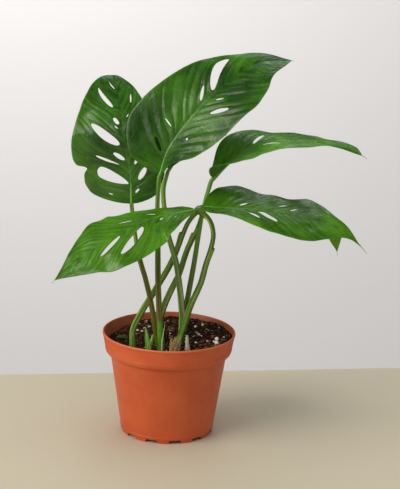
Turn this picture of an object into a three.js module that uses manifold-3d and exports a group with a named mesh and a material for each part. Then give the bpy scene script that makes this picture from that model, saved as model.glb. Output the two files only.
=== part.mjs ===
// A young monstera (Swiss cheese plant) in a 12 cm plastic nursery pot: seven pierced leaves on long
// stalks that rise from the potting mix in one clump.
// Millimetres, +Z up. The origin is on the pot's axis, on the surface that the pot stands on.
// The front of the plant is towards -Y, and +X is to its right.
import * as THREE from "three";
import { mergeVertices } from "three/addons/utils/BufferGeometryUtils.js";
import Module from "manifold-3d";

const wasm = await Module();
wasm.setup();

// ---------------------------------------------------------------- driving dimensions

const clearance = 0.3; // between pieces that rest on or in each other
const roundSides = 48; // facets round the pot and the soil

const pot = {
  height: 93,
  rimRadius: 60,
  footRadius: 41.5,
  wall: 1.4,
  lipWall: 1.7, // the lip is a little thicker than the wall
  lipHeight: 2.4, // and swells by this much over this height
  lipSwell: 0.3,
  collarHeight: 18, // the wider band under the rim
  collarRadius: 56.5, // at the collar's lower edge
  neckRadius: 52.3, // just below the collar
  neckHeight: 72,
  shoulder: [1.6, 0.9], // a point on the round step under the collar, out and up from the neck
  floorUnderside: 3.4, // the floor is raised, and the foot ring stands below it
  floorTop: 5,
  footWall: 1.8,
  draft: 0.3, // the foot ring and the pad taper by this much
  innerCorner: 0.6, // the wall thins by this much where it meets the floor
  padRadius: 10, // flat moulding pad in the middle of the floor, level with the foot ring
  notchCount: 12, // drain notches through the foot ring
  notchAngle: 15, // degrees that one notch takes up
  notchHeight: 3,
  firstNotch: 12, // degrees from the front
  drainCount: 6,
  drainRadius: 4,
  drainCircle: 25,
};

const soil = {
  surface: 81, // height of the potting mix at the front
  // it is mounded towards the back right, by this height between these distances from the axis
  mound: { height: 8, from: -25, to: 55, towards: [0.6, 0.8] },
  roughness: 1.3, // crumbs stand this much above and below it
  rings: [8, 15, 22, 29, 36, 42, 48, 53],
  // crumbs are two crossing waves, each bent by a slower one; all in radians per millimetre
  waves: [
    { pitch: 1.7, bend: 3.1, bendPitch: 0.9 },
    { pitch: 1.3, bend: 2.3, bendPitch: 0.7 },
  ],
};

const blade = {
  thickness: 0.8,
  rows: 14, // stations along a blade, before those of its holes
  columns: 7, // steps from the midrib to the margin
  droopWidth: 40, // a half droops by its given angle over this width
  crowding: 1.8, // power by which the stations crowd towards the round base
  stationGap: 0.3, // none comes nearer to a hole's own station than this share of a row
  baseShare: 0.03, // but all of the base's stations stay, up to this share of the length
  veinStart: 0.12, // share of the length over which the side veins turn forward
  veinEnd: 2.5, // power by which they straighten again towards the tip
  holeRound: 0.7, // power of the sine that rounds the ends of a hole
  // veins bend round a hole out to the most of these: half widths, leans, and a share of the length
  holeReach: { halfWidths: 2.2, leans: 1.2, least: 0.03 },
};

const stalk = {
  sides: 8,
  step: 8.5, // length between two rings
  straightEnd: 6, // length that runs straight into the blade
};

const touching = clearance + 0.1; // a planted piece's gap all round, on facets

// Each leaf, from its stalk to its tip.
//   midrib: points along the middle vein
//   face: [turn, tilt] in degrees of the upper side, at even steps along the leaf. Turn 0 faces the
//     front and 90 faces +X; tilt 90 faces up
//   left, right: half widths at the given shares of the length, seen from above with the tip away
//   fold: degrees by which a half rises from the midrib, at the base, the middle and the tip
//   droop: degrees by which it then bends down again over 40 mm of width
//   sweep: how far the side veins run forward, as a share of the length
//   holes: [side, where its vein leaves the midrib, inner end, outer end, width in mm, lean], the ends
//     as shares of the way from the midrib to the margin, and the lean, where the hole isn't quite in
//     line with its vein, as how much further forward its outer end lies, as a share of the length
//   stalk: points of the stalk from the soil up to the leaf, with its radius at the foot and the top
const leaves = {
  leaf_a: {
    midrib: [[-37, 20, 205], [-39, 21, 236], [-46, 19, 266], [-49, 36, 292], [-57, 57, 311], [-61, 69, 313]],
    face: [[-7, 2], [-7, 5], [-2, 16], [3, 44], [2, 80]],
    left: { at: [0.06, 0.14, 0.24, 0.28, 0.38, 0.55, 0.72, 0.86, 1], width: [38, 45, 41, 47, 50, 43, 36, 24, 0] },
    right: { at: [0.06, 0.2, 0.4, 0.55, 0.72, 0.86, 1], width: [23, 31, 33, 29, 20, 13, 0] },
    fold: { left: [-4, -2, 4], right: [1, 0, -1] },
    droop: { left: [8, 10, 8], right: [18, 14, 9] },
    sweep: 0.34,
    holes: [
      ["left", 0.036, 0.43, 0.57, 1.5],
      ["left", 0.108, 0.03, 0.72, 15, -0.01],
      ["left", 0.21, 0.2, 0.57, 3],
      ["left", 0.288, 0.04, 0.23, 5],
      ["left", 0.379, 0.08, 0.65, 9, -0.03],
      ["left", 0.492, 0.06, 0.17, 1.5],
      ["left", 0.535, 0.03, 0.2, 4.5],
      ["left", 0.675, 0.17, 0.64, 5.5, 0.08],
      ["left", 0.829, 0.04, 0.24, 2, 0.05],
      ["right", 0.058, 0.14, 0.32, 2.5],
      ["right", 0.121, 0.21, 0.47, 6],
      ["right", 0.22, 0.14, 0.6, 6],
      ["right", 0.33, 0.1, 0.6, 6],
      ["right", 0.43, 0.15, 0.66, 5],
      ["right", 0.549, 0.14, 0.26, 2],
      ["right", 0.6, 0.41, 0.61, 3.5, 0.02],
    ],
    stalk: {
      points: [[-9, -3, 59], [-10, -4, 82], [-13, -4, 96], [-17.2, -2, 119], [-22.7, 2, 140], [-28.5, 8, 157],
        [-32.5, 14, 176]],
      radius: [2.4, 1.8],
    },
  },
  leaf_b: {
    midrib: [[-12, 1, 236], [-2, 4, 264], [31, 12, 306], [69, 27, 333], [102, 32, 337]],
    face: [[-20, 24], [0, 50], [0, 68]],
    left: { at: [0.06, 0.2, 0.4, 0.6, 0.8, 0.94, 1], width: [30, 46, 42, 35, 19, 6, 0] },
    right: { at: [0.06, 0.2, 0.4, 0.6, 0.8, 0.94, 1], width: [7, 32, 40, 42, 33, 13, 0] },
    fold: { left: [19, 7, -6], right: [30, 11, 3] },
    droop: { left: [2, 4, 12], right: [6, 7, 8] },
    sweep: 0.32,
    holes: [
      ["left", 0.101, 0.1, 0.37, 4],
      ["left", 0.186, 0.18, 0.41, 3, -0.04],
      ["left", 0.33, 0.15, 0.5, 2],
      ["left", 0.431, 0.07, 0.33, 4],
      ["left", 0.51, 0.09, 0.83, 15, 0.02],
      ["right", 0.167, 0.19, 0.44, 4.5],
      ["right", 0.348, 0.3, 0.6, 6],
      ["right", 0.459, 0.16, 0.31, 2],
    ],
    stalk: {
      points: [[-7, -20, 59], [-7, -20, 80], [-8, -20, 96], [-9, -19, 111], [-11, -15, 144], [-12, -9, 173],
        [-13, -4, 207]],
      radius: [2.6, 2],
    },
  },
  leaf_c: {
    midrib: [[35, 9, 233], [60, 11, 257], [91, 12, 270], [139, 11, 266], [166, 5, 259]],
    face: [[-66, 25], [10, 80], [-1, 86]],
    left: { at: [0.06, 0.2, 0.4, 0.6, 0.8, 0.94, 1], width: [15, 31, 37, 31, 14, 10, 0] },
    right: { at: [0.06, 0.2, 0.4, 0.6, 0.8, 0.94, 1], width: [24, 30, 33, 30, 22, 8, 0] },
    fold: { left: [5, -8, 10], right: [67, 9, 21] },
    droop: { left: [10, 14, 8], right: [10, 10, 7] },
    sweep: 0.34,
    holes: [
      ["left", 0.297, 0.05, 0.38, 4.5, -0.03],
      ["left", 0.42, 0.2, 0.6, 3],
      ["right", 0.135, 0.4, 0.56, 2],
      ["right", 0.305, 0.34, 0.52, 2.5, 0.06],
      ["right", 0.571, 0.09, 0.47, 3, 0.03],
    ],
    stalk: {
      points: [[9, 7, 59], [10, 6, 82], [12, 5, 104], [15, 4, 118], [18, 4, 137], [21, 5, 157], [24, 7, 181],
        [27, 8, 202]],
      radius: [2.9, 1.8],
    },
  },
  leaf_d: {
    midrib: [[20.5, -21, 211], [-16, -31, 205], [-40, -49, 197], [-71, -58, 179], [-98, -68, 157]],
    face: [[-21, 79], [-1, 59], [-10, 41]],
    left: { at: [0.06, 0.2, 0.4, 0.6, 0.8, 0.94, 1], width: [15, 31, 34, 33, 20, 6, 0] },
    right: { at: [0.06, 0.2, 0.4, 0.6, 0.8, 0.94, 1], width: [14, 17, 27, 31, 13, 3, 0] },
    fold: { left: [14, 1, 8], right: [-3, -10, 8] },
    droop: { left: [8, 12, 8], right: [15, 13, 6] },
    sweep: 0.36,
    holes: [
      ["left", 0.082, 0.2, 0.38, 1.5],
      ["left", 0.19, 0.1, 0.32, 6.5, 0.03],
      ["left", 0.353, 0.14, 0.64, 13, 0.03],
      ["left", 0.546, 0.05, 0.38, 10, 0.07],
      ["right", 0.16, 0.2, 0.5, 2.5],
      ["right", 0.292, 0.22, 0.5, 5.5, 0.06],
    ],
    stalk: {
      points: [[7, -14, 59], [8, -14, 83], [10, -14, 92], [14, -14, 106], [18, -14, 120], [27, -15, 143],
        [31, -17, 160], [36, -20, 179], [37, -23, 191], [33, -23, 203]],
      radius: [2.8, 2],
    },
  },
  leaf_e: {
    midrib: [[27, -1, 209], [65, -8, 210], [100, -11, 208], [146, -16, 198], [167, -22, 183]],
    face: [[-4, 70], [-1, 76], [26, 55]],
    left: { at: [0.06, 0.2, 0.4, 0.6, 0.8, 0.94, 1], width: [24, 33, 30, 38, 12, 2, 0] },
    right: { at: [0.06, 0.2, 0.4, 0.6, 0.8, 0.94, 1], width: [19, 22, 38, 41, 21, 3, 0] },
    fold: { left: [19, -1, 1], right: [22, 6, 6] },
    droop: { left: [5, 8, 8], right: [3, 13, 12] },
    sweep: 0.3,
    holes: [
      ["left", 0.193, 0.12, 0.26, 2.2],
      ["left", 0.369, 0.33, 0.52, 2.6],
      ["left", 0.483, 0.17, 0.3, 2],
      ["right", 0.122, 0.3, 0.47, 1.6],
      ["right", 0.215, 0.31, 0.54, 4],
      ["right", 0.315, 0.07, 0.54, 6.5],
    ],
    stalk: {
      points: [[-31, -19, 62], [-32, -16, 82], [-32, -8, 95], [-24, 2, 111], [-14, 8, 127], [1, 9, 155],
        [13, 4, 190], [18, 2, 199]],
      radius: [2.7, 2],
    },
  },
  leaf_f: {
    midrib: [[-4, 12, 240], [10, 34, 256], [24, 57, 266], [36, 78, 269], [47, 98, 255]],
    face: [[-60, 60], [-60, 75], [-60, 70]],
    left: { at: [0.06, 0.2, 0.4, 0.6, 0.8, 0.94, 1], width: [7, 13, 19, 18, 11, 4, 0] },
    right: { at: [0.06, 0.2, 0.4, 0.6, 0.8, 0.94, 1], width: [12, 19, 22, 19, 11, 4, 0] },
    fold: { left: [18, 8, 8], right: [18, 8, 8] },
    droop: { left: [6, 10, 10], right: [6, 10, 10] },
    sweep: 0.32,
    holes: [
      ["left", 0.3, 0.15, 0.6, 4],
      ["right", 0.2, 0.2, 0.6, 3],
      ["right", 0.42, 0.15, 0.6, 4],
    ],
    stalk: {
      points: [[11, -3, 59], [11, -2, 84], [12, -3, 105], [11, -4, 119], [9, -3, 135], [5, -1, 158],
        [-1, 3, 183], [-4, 6, 203], [-5, 7, 222]],
      radius: [2.8, 1.8],
    },
  },
  leaf_g: {
    midrib: [[31, 19, 206], [58, 40, 206], [89, 60, 201], [122, 70, 194], [146, 72, 178], [154, 70, 153]],
    face: [[-10, 100], [-10, 100], [30, 60]],
    left: { at: [0.06, 0.2, 0.4, 0.6, 0.8, 0.94, 1], width: [7, 20, 31, 28, 18, 6, 0] },
    right: { at: [0.06, 0.2, 0.4, 0.6, 0.8, 0.94, 1], width: [14, 26, 29, 25, 16, 6, 0] },
    fold: { left: [16, 6, 8], right: [16, 6, 8] },
    droop: { left: [6, 12, 12], right: [6, 12, 12] },
    sweep: 0.32,
    holes: [
      ["left", 0.25, 0.14, 0.6, 5],
      ["left", 0.45, 0.16, 0.6, 4],
      ["right", 0.3, 0.14, 0.62, 6],
      ["right", 0.5, 0.2, 0.55, 3],
    ],
    stalk: {
      points: [[-9.5, 4, 59], [-9.5, 4, 80], [-9, 4.5, 97], [-5.5, 6, 112], [0.5, 9, 127], [7.5, 12.5, 142],
        [14.5, 18, 164], [23, 19, 184]],
      radius: [2.9, 2],
    },
  },
};

// Small pieces at the foot of the clump, as [x, y, z] points from the soil upwards.
const shoot = {
  main: [[-17, -26, 62], [-17.5, -26, 82], [-19, -25.5, 94], [-20.5, -24.5, 104]],
  side: [[-17.5, -26, 84], [-15, -25, 90], [-14, -24.5, 97]],
  radius: [3.6, 0.6],
  sideRadius: [1.8, 0.5],
};
const drySheaths = {
  dry_sheath_left: { points: [[4.5, -27, 72], [4.5, -27, 82], [5.5, -26, 91], [7, -25, 97]], turn: 200 },
  dry_sheath_right: { points: [[17, -22, 72], [17, -22, 83], [16.5, -22, 91], [16, -21, 98]], turn: 20 },
};
const sheath = { radius: 2.6, wall: 0.7, wrap: 210 }; // a curled strip that wraps round by 210 degrees

// ---------------------------------------------------------------- finishes

const finish = (color, roughness) => new THREE.MeshStandardMaterial({ color, roughness, metalness: 0 });
const terracottaPlastic = finish("#b5593a", 0.5);
const pottingMix = finish("#3a2a20", 0.95);
const leafGreen = finish("#2c6b1f", 0.4);
const stalkGreen = finish("#6b7a2a", 0.5);
const shootGreen = finish("#7fa83c", 0.5);
const dryHusk = finish("#cdb98a", 0.8);

// ---------------------------------------------------------------- helpers

const radians = THREE.MathUtils.degToRad;
const vector = ([x, y, z]) => new THREE.Vector3(x, y, z);
const curveOf = (points) => new THREE.CatmullRomCurve3(points, false, "catmullrom");

// Straight lines through the given values at the given places.
function straightValue(places, values, at) {
  let i = 0;
  while (i < places.length - 2 && at > places[i + 1]) i++;
  return THREE.MathUtils.mapLinear(at, places[i], places[i + 1], values[i], values[i + 1]);
}

// A smooth value through the given values at the given places, which never swings past them.
function smoothValue(places, values, at) {
  const last = places.length - 1;
  let i = 0;
  while (i < last - 1 && at > places[i + 1]) i++;
  const rate = (k) => (values[k + 1] - values[k]) / (places[k + 1] - places[k]);
  const slope = (k) => {
    if (k === 0) return rate(0);
    if (k === last) return rate(last - 1);
    const [before, after] = [rate(k - 1), rate(k)];
    return before * after > 0 ? (2 * before * after) / (before + after) : 0;
  };
  const span = places[i + 1] - places[i];
  const t = THREE.MathUtils.clamp((at - places[i]) / span, 0, 1);
  const rise = values[i + 1] - values[i];
  const a = slope(i) * span - rise;
  const b = rise - slope(i + 1) * span;
  return values[i] + t * rise + t * (1 - t) * ((1 - t) * a + t * b);
}

// The same through values at even steps from the base (0) to the tip (1) of a leaf.
const evenly = (values, at) => smoothValue(values.map((_, i) => i / (values.length - 1)), values, at);

// A mesh with its shared corners merged, as a solid that can be joined or cut.
function solidOf(geometry) {
  const bare = geometry.clone();
  for (const name of ["normal", "uv"]) bare.deleteAttribute(name);
  const merged = mergeVertices(bare, 1e-4);
  return new wasm.Manifold(
    new wasm.Mesh({
      numProp: 3,
      vertProperties: Float32Array.from(merged.attributes.position.array),
      triVerts: Uint32Array.from(merged.index.array),
    }),
  );
}

function geometryOf(solid) {
  const { vertProperties, triVerts } = solid.getMesh();
  const geometry = new THREE.BufferGeometry();
  geometry.setAttribute("position", new THREE.BufferAttribute(vertProperties, 3));
  geometry.setIndex(new THREE.BufferAttribute(triVerts, 1));
  return geometry;
}

// A closed turned shape from its [radius, height] outline, upright on Z.
function turned(outline) {
  const points = outline.map(([radius, height]) => new THREE.Vector2(radius, height));
  return new THREE.LatheGeometry(points, roundSides).rotateX(Math.PI / 2);
}

// A smooth tube through points, whose radius goes from the first given to the second.
function taperedTube(points, [footRadius, topRadius], sides = stalk.sides) {
  const route = curveOf(points);
  const steps = Math.max(4, Math.round(route.getLength() / stalk.step));
  const section = new THREE.Shape(
    Array.from({ length: sides }, (_, i) => {
      const angle = (2 * Math.PI * i) / sides;
      return new THREE.Vector2(Math.cos(angle), Math.sin(angle));
    }),
  );
  const tube = new THREE.ExtrudeGeometry(section, { steps, bevelEnabled: false, extrudePath: route });
  const centres = route.getSpacedPoints(steps);
  const corners = tube.attributes.position;
  const corner = new THREE.Vector3();
  for (let i = 0; i < corners.count; i++) {
    corner.fromBufferAttribute(corners, i);
    const ring = centres.reduce(
      (best, centre, k) => (centre.distanceTo(corner) < centres[best].distanceTo(corner) ? k : best),
      0,
    );
    const radius = THREE.MathUtils.lerp(footRadius, topRadius, ring / steps);
    corner.sub(centres[ring]).multiplyScalar(radius).add(centres[ring]);
    corners.setXYZ(i, corner.x, corner.y, corner.z);
  }
  return tube;
}

// ---------------------------------------------------------------- pot

const collarBottom = pot.height - pot.collarHeight;

// The inner side of the wall, as [radius, height] from the top to the floor.
const innerWall = [
  [pot.rimRadius - pot.lipWall, pot.height],
  [pot.collarRadius - pot.wall, collarBottom],
  [pot.neckRadius - pot.wall, pot.neckHeight],
  [pot.footRadius - pot.wall + pot.innerCorner, pot.floorTop],
];

// The pot's inner radius at a height above its floor.
function innerRadius(height) {
  const upwards = innerWall.toReversed();
  return straightValue(upwards.map(([, z]) => z), upwards.map(([radius]) => radius), height);
}

function makePot() {
  const [shoulderOut, shoulderUp] = pot.shoulder;
  const shell = turned([
    [0, 0],
    [pot.padRadius, 0],
    [pot.padRadius + pot.draft, pot.floorUnderside],
    [pot.footRadius - pot.footWall - pot.draft, pot.floorUnderside],
    [pot.footRadius - pot.footWall, 0],
    [pot.footRadius, 0],
    [pot.neckRadius, pot.neckHeight],
    [pot.neckRadius + shoulderOut, pot.neckHeight + shoulderUp],
    [pot.collarRadius, collarBottom],
    [pot.rimRadius - pot.lipSwell, pot.height - pot.lipHeight],
    [pot.rimRadius, pot.height - pot.lipHeight / 2],
    [pot.rimRadius - pot.lipSwell, pot.height],
    ...innerWall,
    [0, pot.floorTop],
  ]);
  let body = solidOf(shell);
  const notchWidth = 2 * pot.footRadius * Math.sin(radians(pot.notchAngle / 2));
  const throughWall = 4 * pot.footWall;
  for (let i = 0; i < pot.notchCount; i++) {
    const notch = new THREE.BoxGeometry(notchWidth, throughWall, 2 * pot.notchHeight);
    notch.translate(0, -pot.footRadius, 0);
    notch.rotateZ(radians(pot.firstNotch + (i * 360) / pot.notchCount));
    body = body.subtract(solidOf(notch));
  }
  for (let i = 0; i < pot.drainCount; i++) {
    const drain = new THREE.CylinderGeometry(pot.drainRadius, pot.drainRadius, 2 * pot.floorTop, 10);
    drain.rotateX(Math.PI / 2);
    drain.translate(pot.drainCircle, 0, pot.floorTop);
    drain.rotateZ(radians((i * 360) / pot.drainCount));
    body = body.subtract(solidOf(drain));
  }
  return geometryOf(body);
}

// ---------------------------------------------------------------- potting mix

// The crumbs' height from -1 to 1 at a place.
function crumb(x, y) {
  const [alongX, alongY] = soil.waves;
  const wave = (place, other, { pitch, bend, bendPitch }) =>
    Math.sin(place * pitch + bend * Math.sin(other * bendPitch));
  return (wave(x, y, alongX) + wave(y, x, alongY)) / 2;
}

// How far the potting mix rises above its front at a place.
function mound(x, y) {
  const { height, from, to, towards } = soil.mound;
  return height * THREE.MathUtils.smoothstep(x * towards[0] + y * towards[1], from, to);
}

function makeSoil(plantedTubes) {
  const edge = innerRadius(soil.surface) - clearance;
  const bottom = pot.floorTop + clearance;
  const plug = turned([
    [0, bottom],
    [innerRadius(bottom) - clearance, bottom],
    [innerRadius(pot.neckHeight) - clearance, pot.neckHeight + clearance],
    [innerRadius(collarBottom) - clearance, collarBottom + clearance],
    [edge, soil.surface],
    ...soil.rings.toReversed().map((radius) => [radius, soil.surface]),
    [0, soil.surface],
  ]);
  const corners = plug.attributes.position;
  for (let i = 0; i < corners.count; i++) {
    const [x, y, z] = [corners.getX(i), corners.getY(i), corners.getZ(i)];
    if (z < soil.surface - 0.01) continue;
    const raised = z + mound(x, y);
    if (Math.hypot(x, y) < edge - 0.1) corners.setZ(i, raised + soil.roughness * crumb(x, y));
    else {
      const outwards = (innerRadius(raised) - clearance) / edge;
      corners.setXYZ(i, x * outwards, y * outwards, raised);
    }
  }
  return geometryOf(plantedTubes.reduce((mix, tube) => mix.subtract(solidOf(tube)), solidOf(plug)));
}

// ---------------------------------------------------------------- leaves

// Gives the place of any point of a leaf: `along` runs from 0 at the stalk to 1 at the tip, `across`
// is the distance from the midrib in millimetres, and `side` is "left" or "right".
function leafSurface(leaf) {
  const midrib = curveOf(leaf.midrib.map(vector));
  const turns = leaf.face.map(([turn]) => turn);
  const tilts = leaf.face.map(([, tilt]) => tilt);
  return (along, across, side) => {
    const forward = midrib.getTangentAt(along);
    const turn = radians(evenly(turns, along));
    const tilt = radians(evenly(tilts, along));
    const up = vector([Math.sin(turn) * Math.cos(tilt), -Math.cos(turn) * Math.cos(tilt), Math.sin(tilt)]);
    up.addScaledVector(forward, -up.dot(forward)).normalize();
    const outward = up.clone().cross(forward);
    if (side === "right") outward.negate();
    // the half leaves the midrib at one angle and bends down at an even rate
    const start = radians(evenly(leaf.fold[side], along));
    const bend = radians(evenly(leaf.droop[side], along)) / blade.droopWidth;
    const end = start - bend * across;
    return midrib
      .getPointAt(along)
      .addScaledVector(outward, (Math.sin(start) - Math.sin(end)) / bend)
      .addScaledVector(up, (Math.cos(end) - Math.cos(start)) / bend);
  };
}

// Half width of a leaf; its base is round.
function halfWidth({ at, width }, along) {
  if (along < at[0]) return width[0] * Math.sqrt(along / at[0]);
  return Math.max(0, smoothValue(at, width, along));
}

// How far forward a side vein has run when it reaches the margin, as a share of the leaf's length:
// little at the base, the full sweep in the middle, and nothing at the tip.
const veinSweep = (sweep, vein) =>
  sweep * (1 - Math.exp(-vein / blade.veinStart)) * (1 - vein ** blade.veinEnd);

// A leaf's blade as a sheet of triangles on a net of side veins, with its holes between two veins.
function bladeSheet(leaf) {
  const place = leafSurface(leaf);
  const length = curveOf(leaf.midrib.map(vector)).getLength();
  const { halfWidths, leans, least } = blade.holeReach;
  const holes = leaf.holes.map(([side, vein, inner, outer, width, lean = 0]) => {
    const first = Math.max(1, Math.round(inner * blade.columns));
    const last = Math.min(blade.columns - 1, Math.max(first + 2, Math.round(outer * blade.columns)));
    const half = width / 2 / length;
    const reach = Math.max(halfWidths * half, leans * Math.abs(lean), least);
    return { side, vein, inner, outer, lean, half, reach, first: Math.min(first, last - 2), last };
  });
  const veins = stations(holes.map((hole) => hole.vein));

  const corners = [];
  const triangles = [];
  const addCorner = (point) => corners.push(point.x, point.y, point.z) / 3 - 1;
  const midribCorners = veins.map((vein) => addCorner(place(vein, 0, "left")));

  for (const side of ["left", "right"]) {
    const sideHoles = holes.filter((hole) => hole.side === side);
    // the corner where a vein meets a column, beside a hole if the vein is that hole's own
    const cornerAt = (vein, column, towardsTip) => {
      let share = column / blade.columns;
      let shift = 0;
      for (const hole of sideHoles) {
        const apart = vein - hole.vein;
        if (Math.abs(apart) > hole.reach) continue;
        if (apart === 0) share = alongSeam(column, hole);
        const opening = hole.half * openingShape((share - hole.inner) / (hole.outer - hole.inner));
        const leaning = straightValue([0, hole.inner, hole.outer, 1], [0, -0.5, 0.5, 0], share) * hole.lean;
        const way = apart === 0 ? towardsTip : Math.sign(apart);
        shift += (way * opening + leaning) * (1 - Math.abs(apart) / hole.reach);
      }
      const moved = vein + shift;
      const along = THREE.MathUtils.clamp(moved + veinSweep(leaf.sweep, vein) * share, 0, 1);
      return place(along, share * halfWidth(leaf[side], along), side);
    };
    const rows = veins.map((vein, row) => {
      const closed = row === 0 || row === veins.length - 1;
      const seam = sideHoles.find((hole) => hole.vein === vein);
      const base = [midribCorners[row]];
      const tip = [midribCorners[row]];
      for (let column = 1; column <= blade.columns; column++) {
        const open = seam && column > seam.first && column < seam.last;
        base.push(closed ? midribCorners[row] : addCorner(cornerAt(vein, column, open ? -1 : 0)));
        tip.push(open ? addCorner(cornerAt(vein, column, 1)) : base[column]);
      }
      return { base, tip };
    });
    for (let row = 0; row < veins.length - 1; row++)
      for (let column = 0; column < blade.columns; column++) {
        const [a, b] = [rows[row].tip[column], rows[row].tip[column + 1]];
        const [d, c] = [rows[row + 1].base[column], rows[row + 1].base[column + 1]];
        for (const triangle of [[a, b, c], [a, c, d]]) {
          if (new Set(triangle).size < 3) continue;
          triangles.push(...(side === "left" ? triangle.reverse() : triangle));
        }
      }
  }
  const sheet = new THREE.BufferGeometry();
  sheet.setAttribute("position", new THREE.Float32BufferAttribute(corners, 3));
  sheet.setIndex(triangles);
  return sheet;
}

// Vein stations from base to tip, closer together at the round base, with one exactly at each hole.
function stations(holeVeins) {
  const veins = [...new Set(holeVeins)];
  for (const step of [0.5, ...Array(blade.rows + 1).keys()]) {
    const vein = (step / blade.rows) ** blade.crowding;
    const nearHole = holeVeins.some((other) => Math.abs(other - vein) < blade.stationGap / blade.rows);
    if (vein < blade.baseShare || vein === 1 || !nearHole) veins.push(vein);
  }
  return veins.sort((a, b) => a - b);
}

// A hole's opening from 0 at its inner end through 1 to 0 at its outer end.
function openingShape(share) {
  return share <= 0 || share >= 1 ? 0 : Math.sin(Math.PI * share) ** blade.holeRound;
}

// On a hole's own vein the columns are moved so that the hole starts and ends at its true places.
function alongSeam(column, { inner, outer, first, last }) {
  return straightValue([0, first, last, blade.columns], [0, inner, outer, 1], column);
}

// A sheet with its two faces half the thickness either way, joined all round its edges and holes.
function thicken(sheet, thickness) {
  sheet.computeVertexNormals();
  const middle = sheet.attributes.position;
  const normals = sheet.attributes.normal;
  const count = middle.count;
  const corners = [];
  for (const way of [0.5, -0.5])
    for (let i = 0; i < count; i++) {
      const corner = new THREE.Vector3().fromBufferAttribute(middle, i);
      corner.addScaledVector(new THREE.Vector3().fromBufferAttribute(normals, i), way * thickness);
      corners.push(corner.x, corner.y, corner.z);
    }
  const upper = Array.from(sheet.index.array);
  const triangles = [...upper];
  const edges = new Map();
  for (let i = 0; i < upper.length; i += 3) {
    const [a, b, c] = upper.slice(i, i + 3);
    triangles.push(count + a, count + c, count + b);
    for (const [from, to] of [[a, b], [b, c], [c, a]]) edges.set(`${from} ${to}`, [from, to]);
  }
  for (const [from, to] of edges.values())
    if (!edges.has(`${to} ${from}`))
      triangles.push(from, count + from, count + to, from, count + to, to);
  const solid = new THREE.BufferGeometry();
  solid.setAttribute("position", new THREE.Float32BufferAttribute(corners, 3));
  solid.setIndex(triangles);
  return solid;
}

// The stalk's route: its own points, then straight into the foot of the blade.
function stalkRoute(leaf) {
  const midrib = curveOf(leaf.midrib.map(vector));
  const before = (distance) => midrib.getPointAt(0).addScaledVector(midrib.getTangentAt(0), -distance);
  return [...leaf.stalk.points.map(vector), before(stalk.straightEnd), before(touching)];
}

// ---------------------------------------------------------------- small pieces at the foot

function makeShoot() {
  const main = taperedTube(shoot.main.map(vector), shoot.radius);
  const side = taperedTube(shoot.side.map(vector), shoot.sideRadius);
  return geometryOf(solidOf(main).add(solidOf(side)));
}

function makeDrySheath({ points, turn }) {
  const section = new THREE.Shape();
  const from = radians(turn);
  const to = radians(turn + sheath.wrap);
  section.absarc(0, 0, sheath.radius, from, to, false);
  section.absarc(0, 0, sheath.radius - sheath.wall, to, from, true);
  section.closePath();
  const options = { steps: 6, bevelEnabled: false, curveSegments: 8, extrudePath: curveOf(points.map(vector)) };
  return geometryOf(solidOf(new THREE.ExtrudeGeometry(section, options)));
}

// ---------------------------------------------------------------- the plant

const plant = new THREE.Group();

function add(name, geometry, material) {
  const mesh = new THREE.Mesh(geometry, material);
  mesh.name = name;
  plant.add(mesh);
}

// A planted piece's socket in the soil: the same tube, a little wider and deeper.
function socketFor(points, radii, sides) {
  const [foot, next] = points;
  const deeper = foot.clone().sub(next).setLength(touching).add(foot);
  return taperedTube([deeper, ...points.slice(1)], radii.map((radius) => radius + touching), sides);
}

const sockets = [];
for (const [name, leaf] of Object.entries(leaves)) {
  const route = stalkRoute(leaf);
  add(name, thicken(bladeSheet(leaf), blade.thickness), leafGreen);
  add(name.replace("leaf", "stalk"), taperedTube(route, leaf.stalk.radius), stalkGreen);
  sockets.push(socketFor(route, leaf.stalk.radius));
}
add("new_shoot", makeShoot(), shootGreen);
sockets.push(socketFor(shoot.main.map(vector), shoot.radius));
for (const [name, husk] of Object.entries(drySheaths)) {
  add(name, makeDrySheath(husk), dryHusk);
  sockets.push(socketFor(husk.points.slice(0, 3).map(vector), [sheath.radius, sheath.radius], 12));
}
add("soil", makeSoil(sockets), pottingMix);
add("pot", makePot(), terracottaPlastic);

export default plant;
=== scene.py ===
import math
import random
from bisect import bisect_right
from contextlib import contextmanager

import bmesh
import bpy
from mathutils import Matrix, Vector, noise


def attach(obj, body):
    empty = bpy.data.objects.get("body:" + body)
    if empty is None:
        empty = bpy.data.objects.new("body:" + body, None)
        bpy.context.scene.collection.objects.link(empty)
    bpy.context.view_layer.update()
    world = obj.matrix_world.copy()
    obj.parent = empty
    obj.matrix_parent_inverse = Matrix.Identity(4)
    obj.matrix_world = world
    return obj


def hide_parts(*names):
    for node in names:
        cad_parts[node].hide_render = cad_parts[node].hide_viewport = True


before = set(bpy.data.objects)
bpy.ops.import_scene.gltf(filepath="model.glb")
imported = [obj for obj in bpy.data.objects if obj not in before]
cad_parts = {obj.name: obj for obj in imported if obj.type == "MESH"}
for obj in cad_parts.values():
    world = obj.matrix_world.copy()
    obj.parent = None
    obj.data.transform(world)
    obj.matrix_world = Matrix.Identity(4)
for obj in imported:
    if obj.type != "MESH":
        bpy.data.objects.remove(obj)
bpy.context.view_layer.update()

MM = 0.001

# ---------------------------------------------------------------- driving sizes

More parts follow.
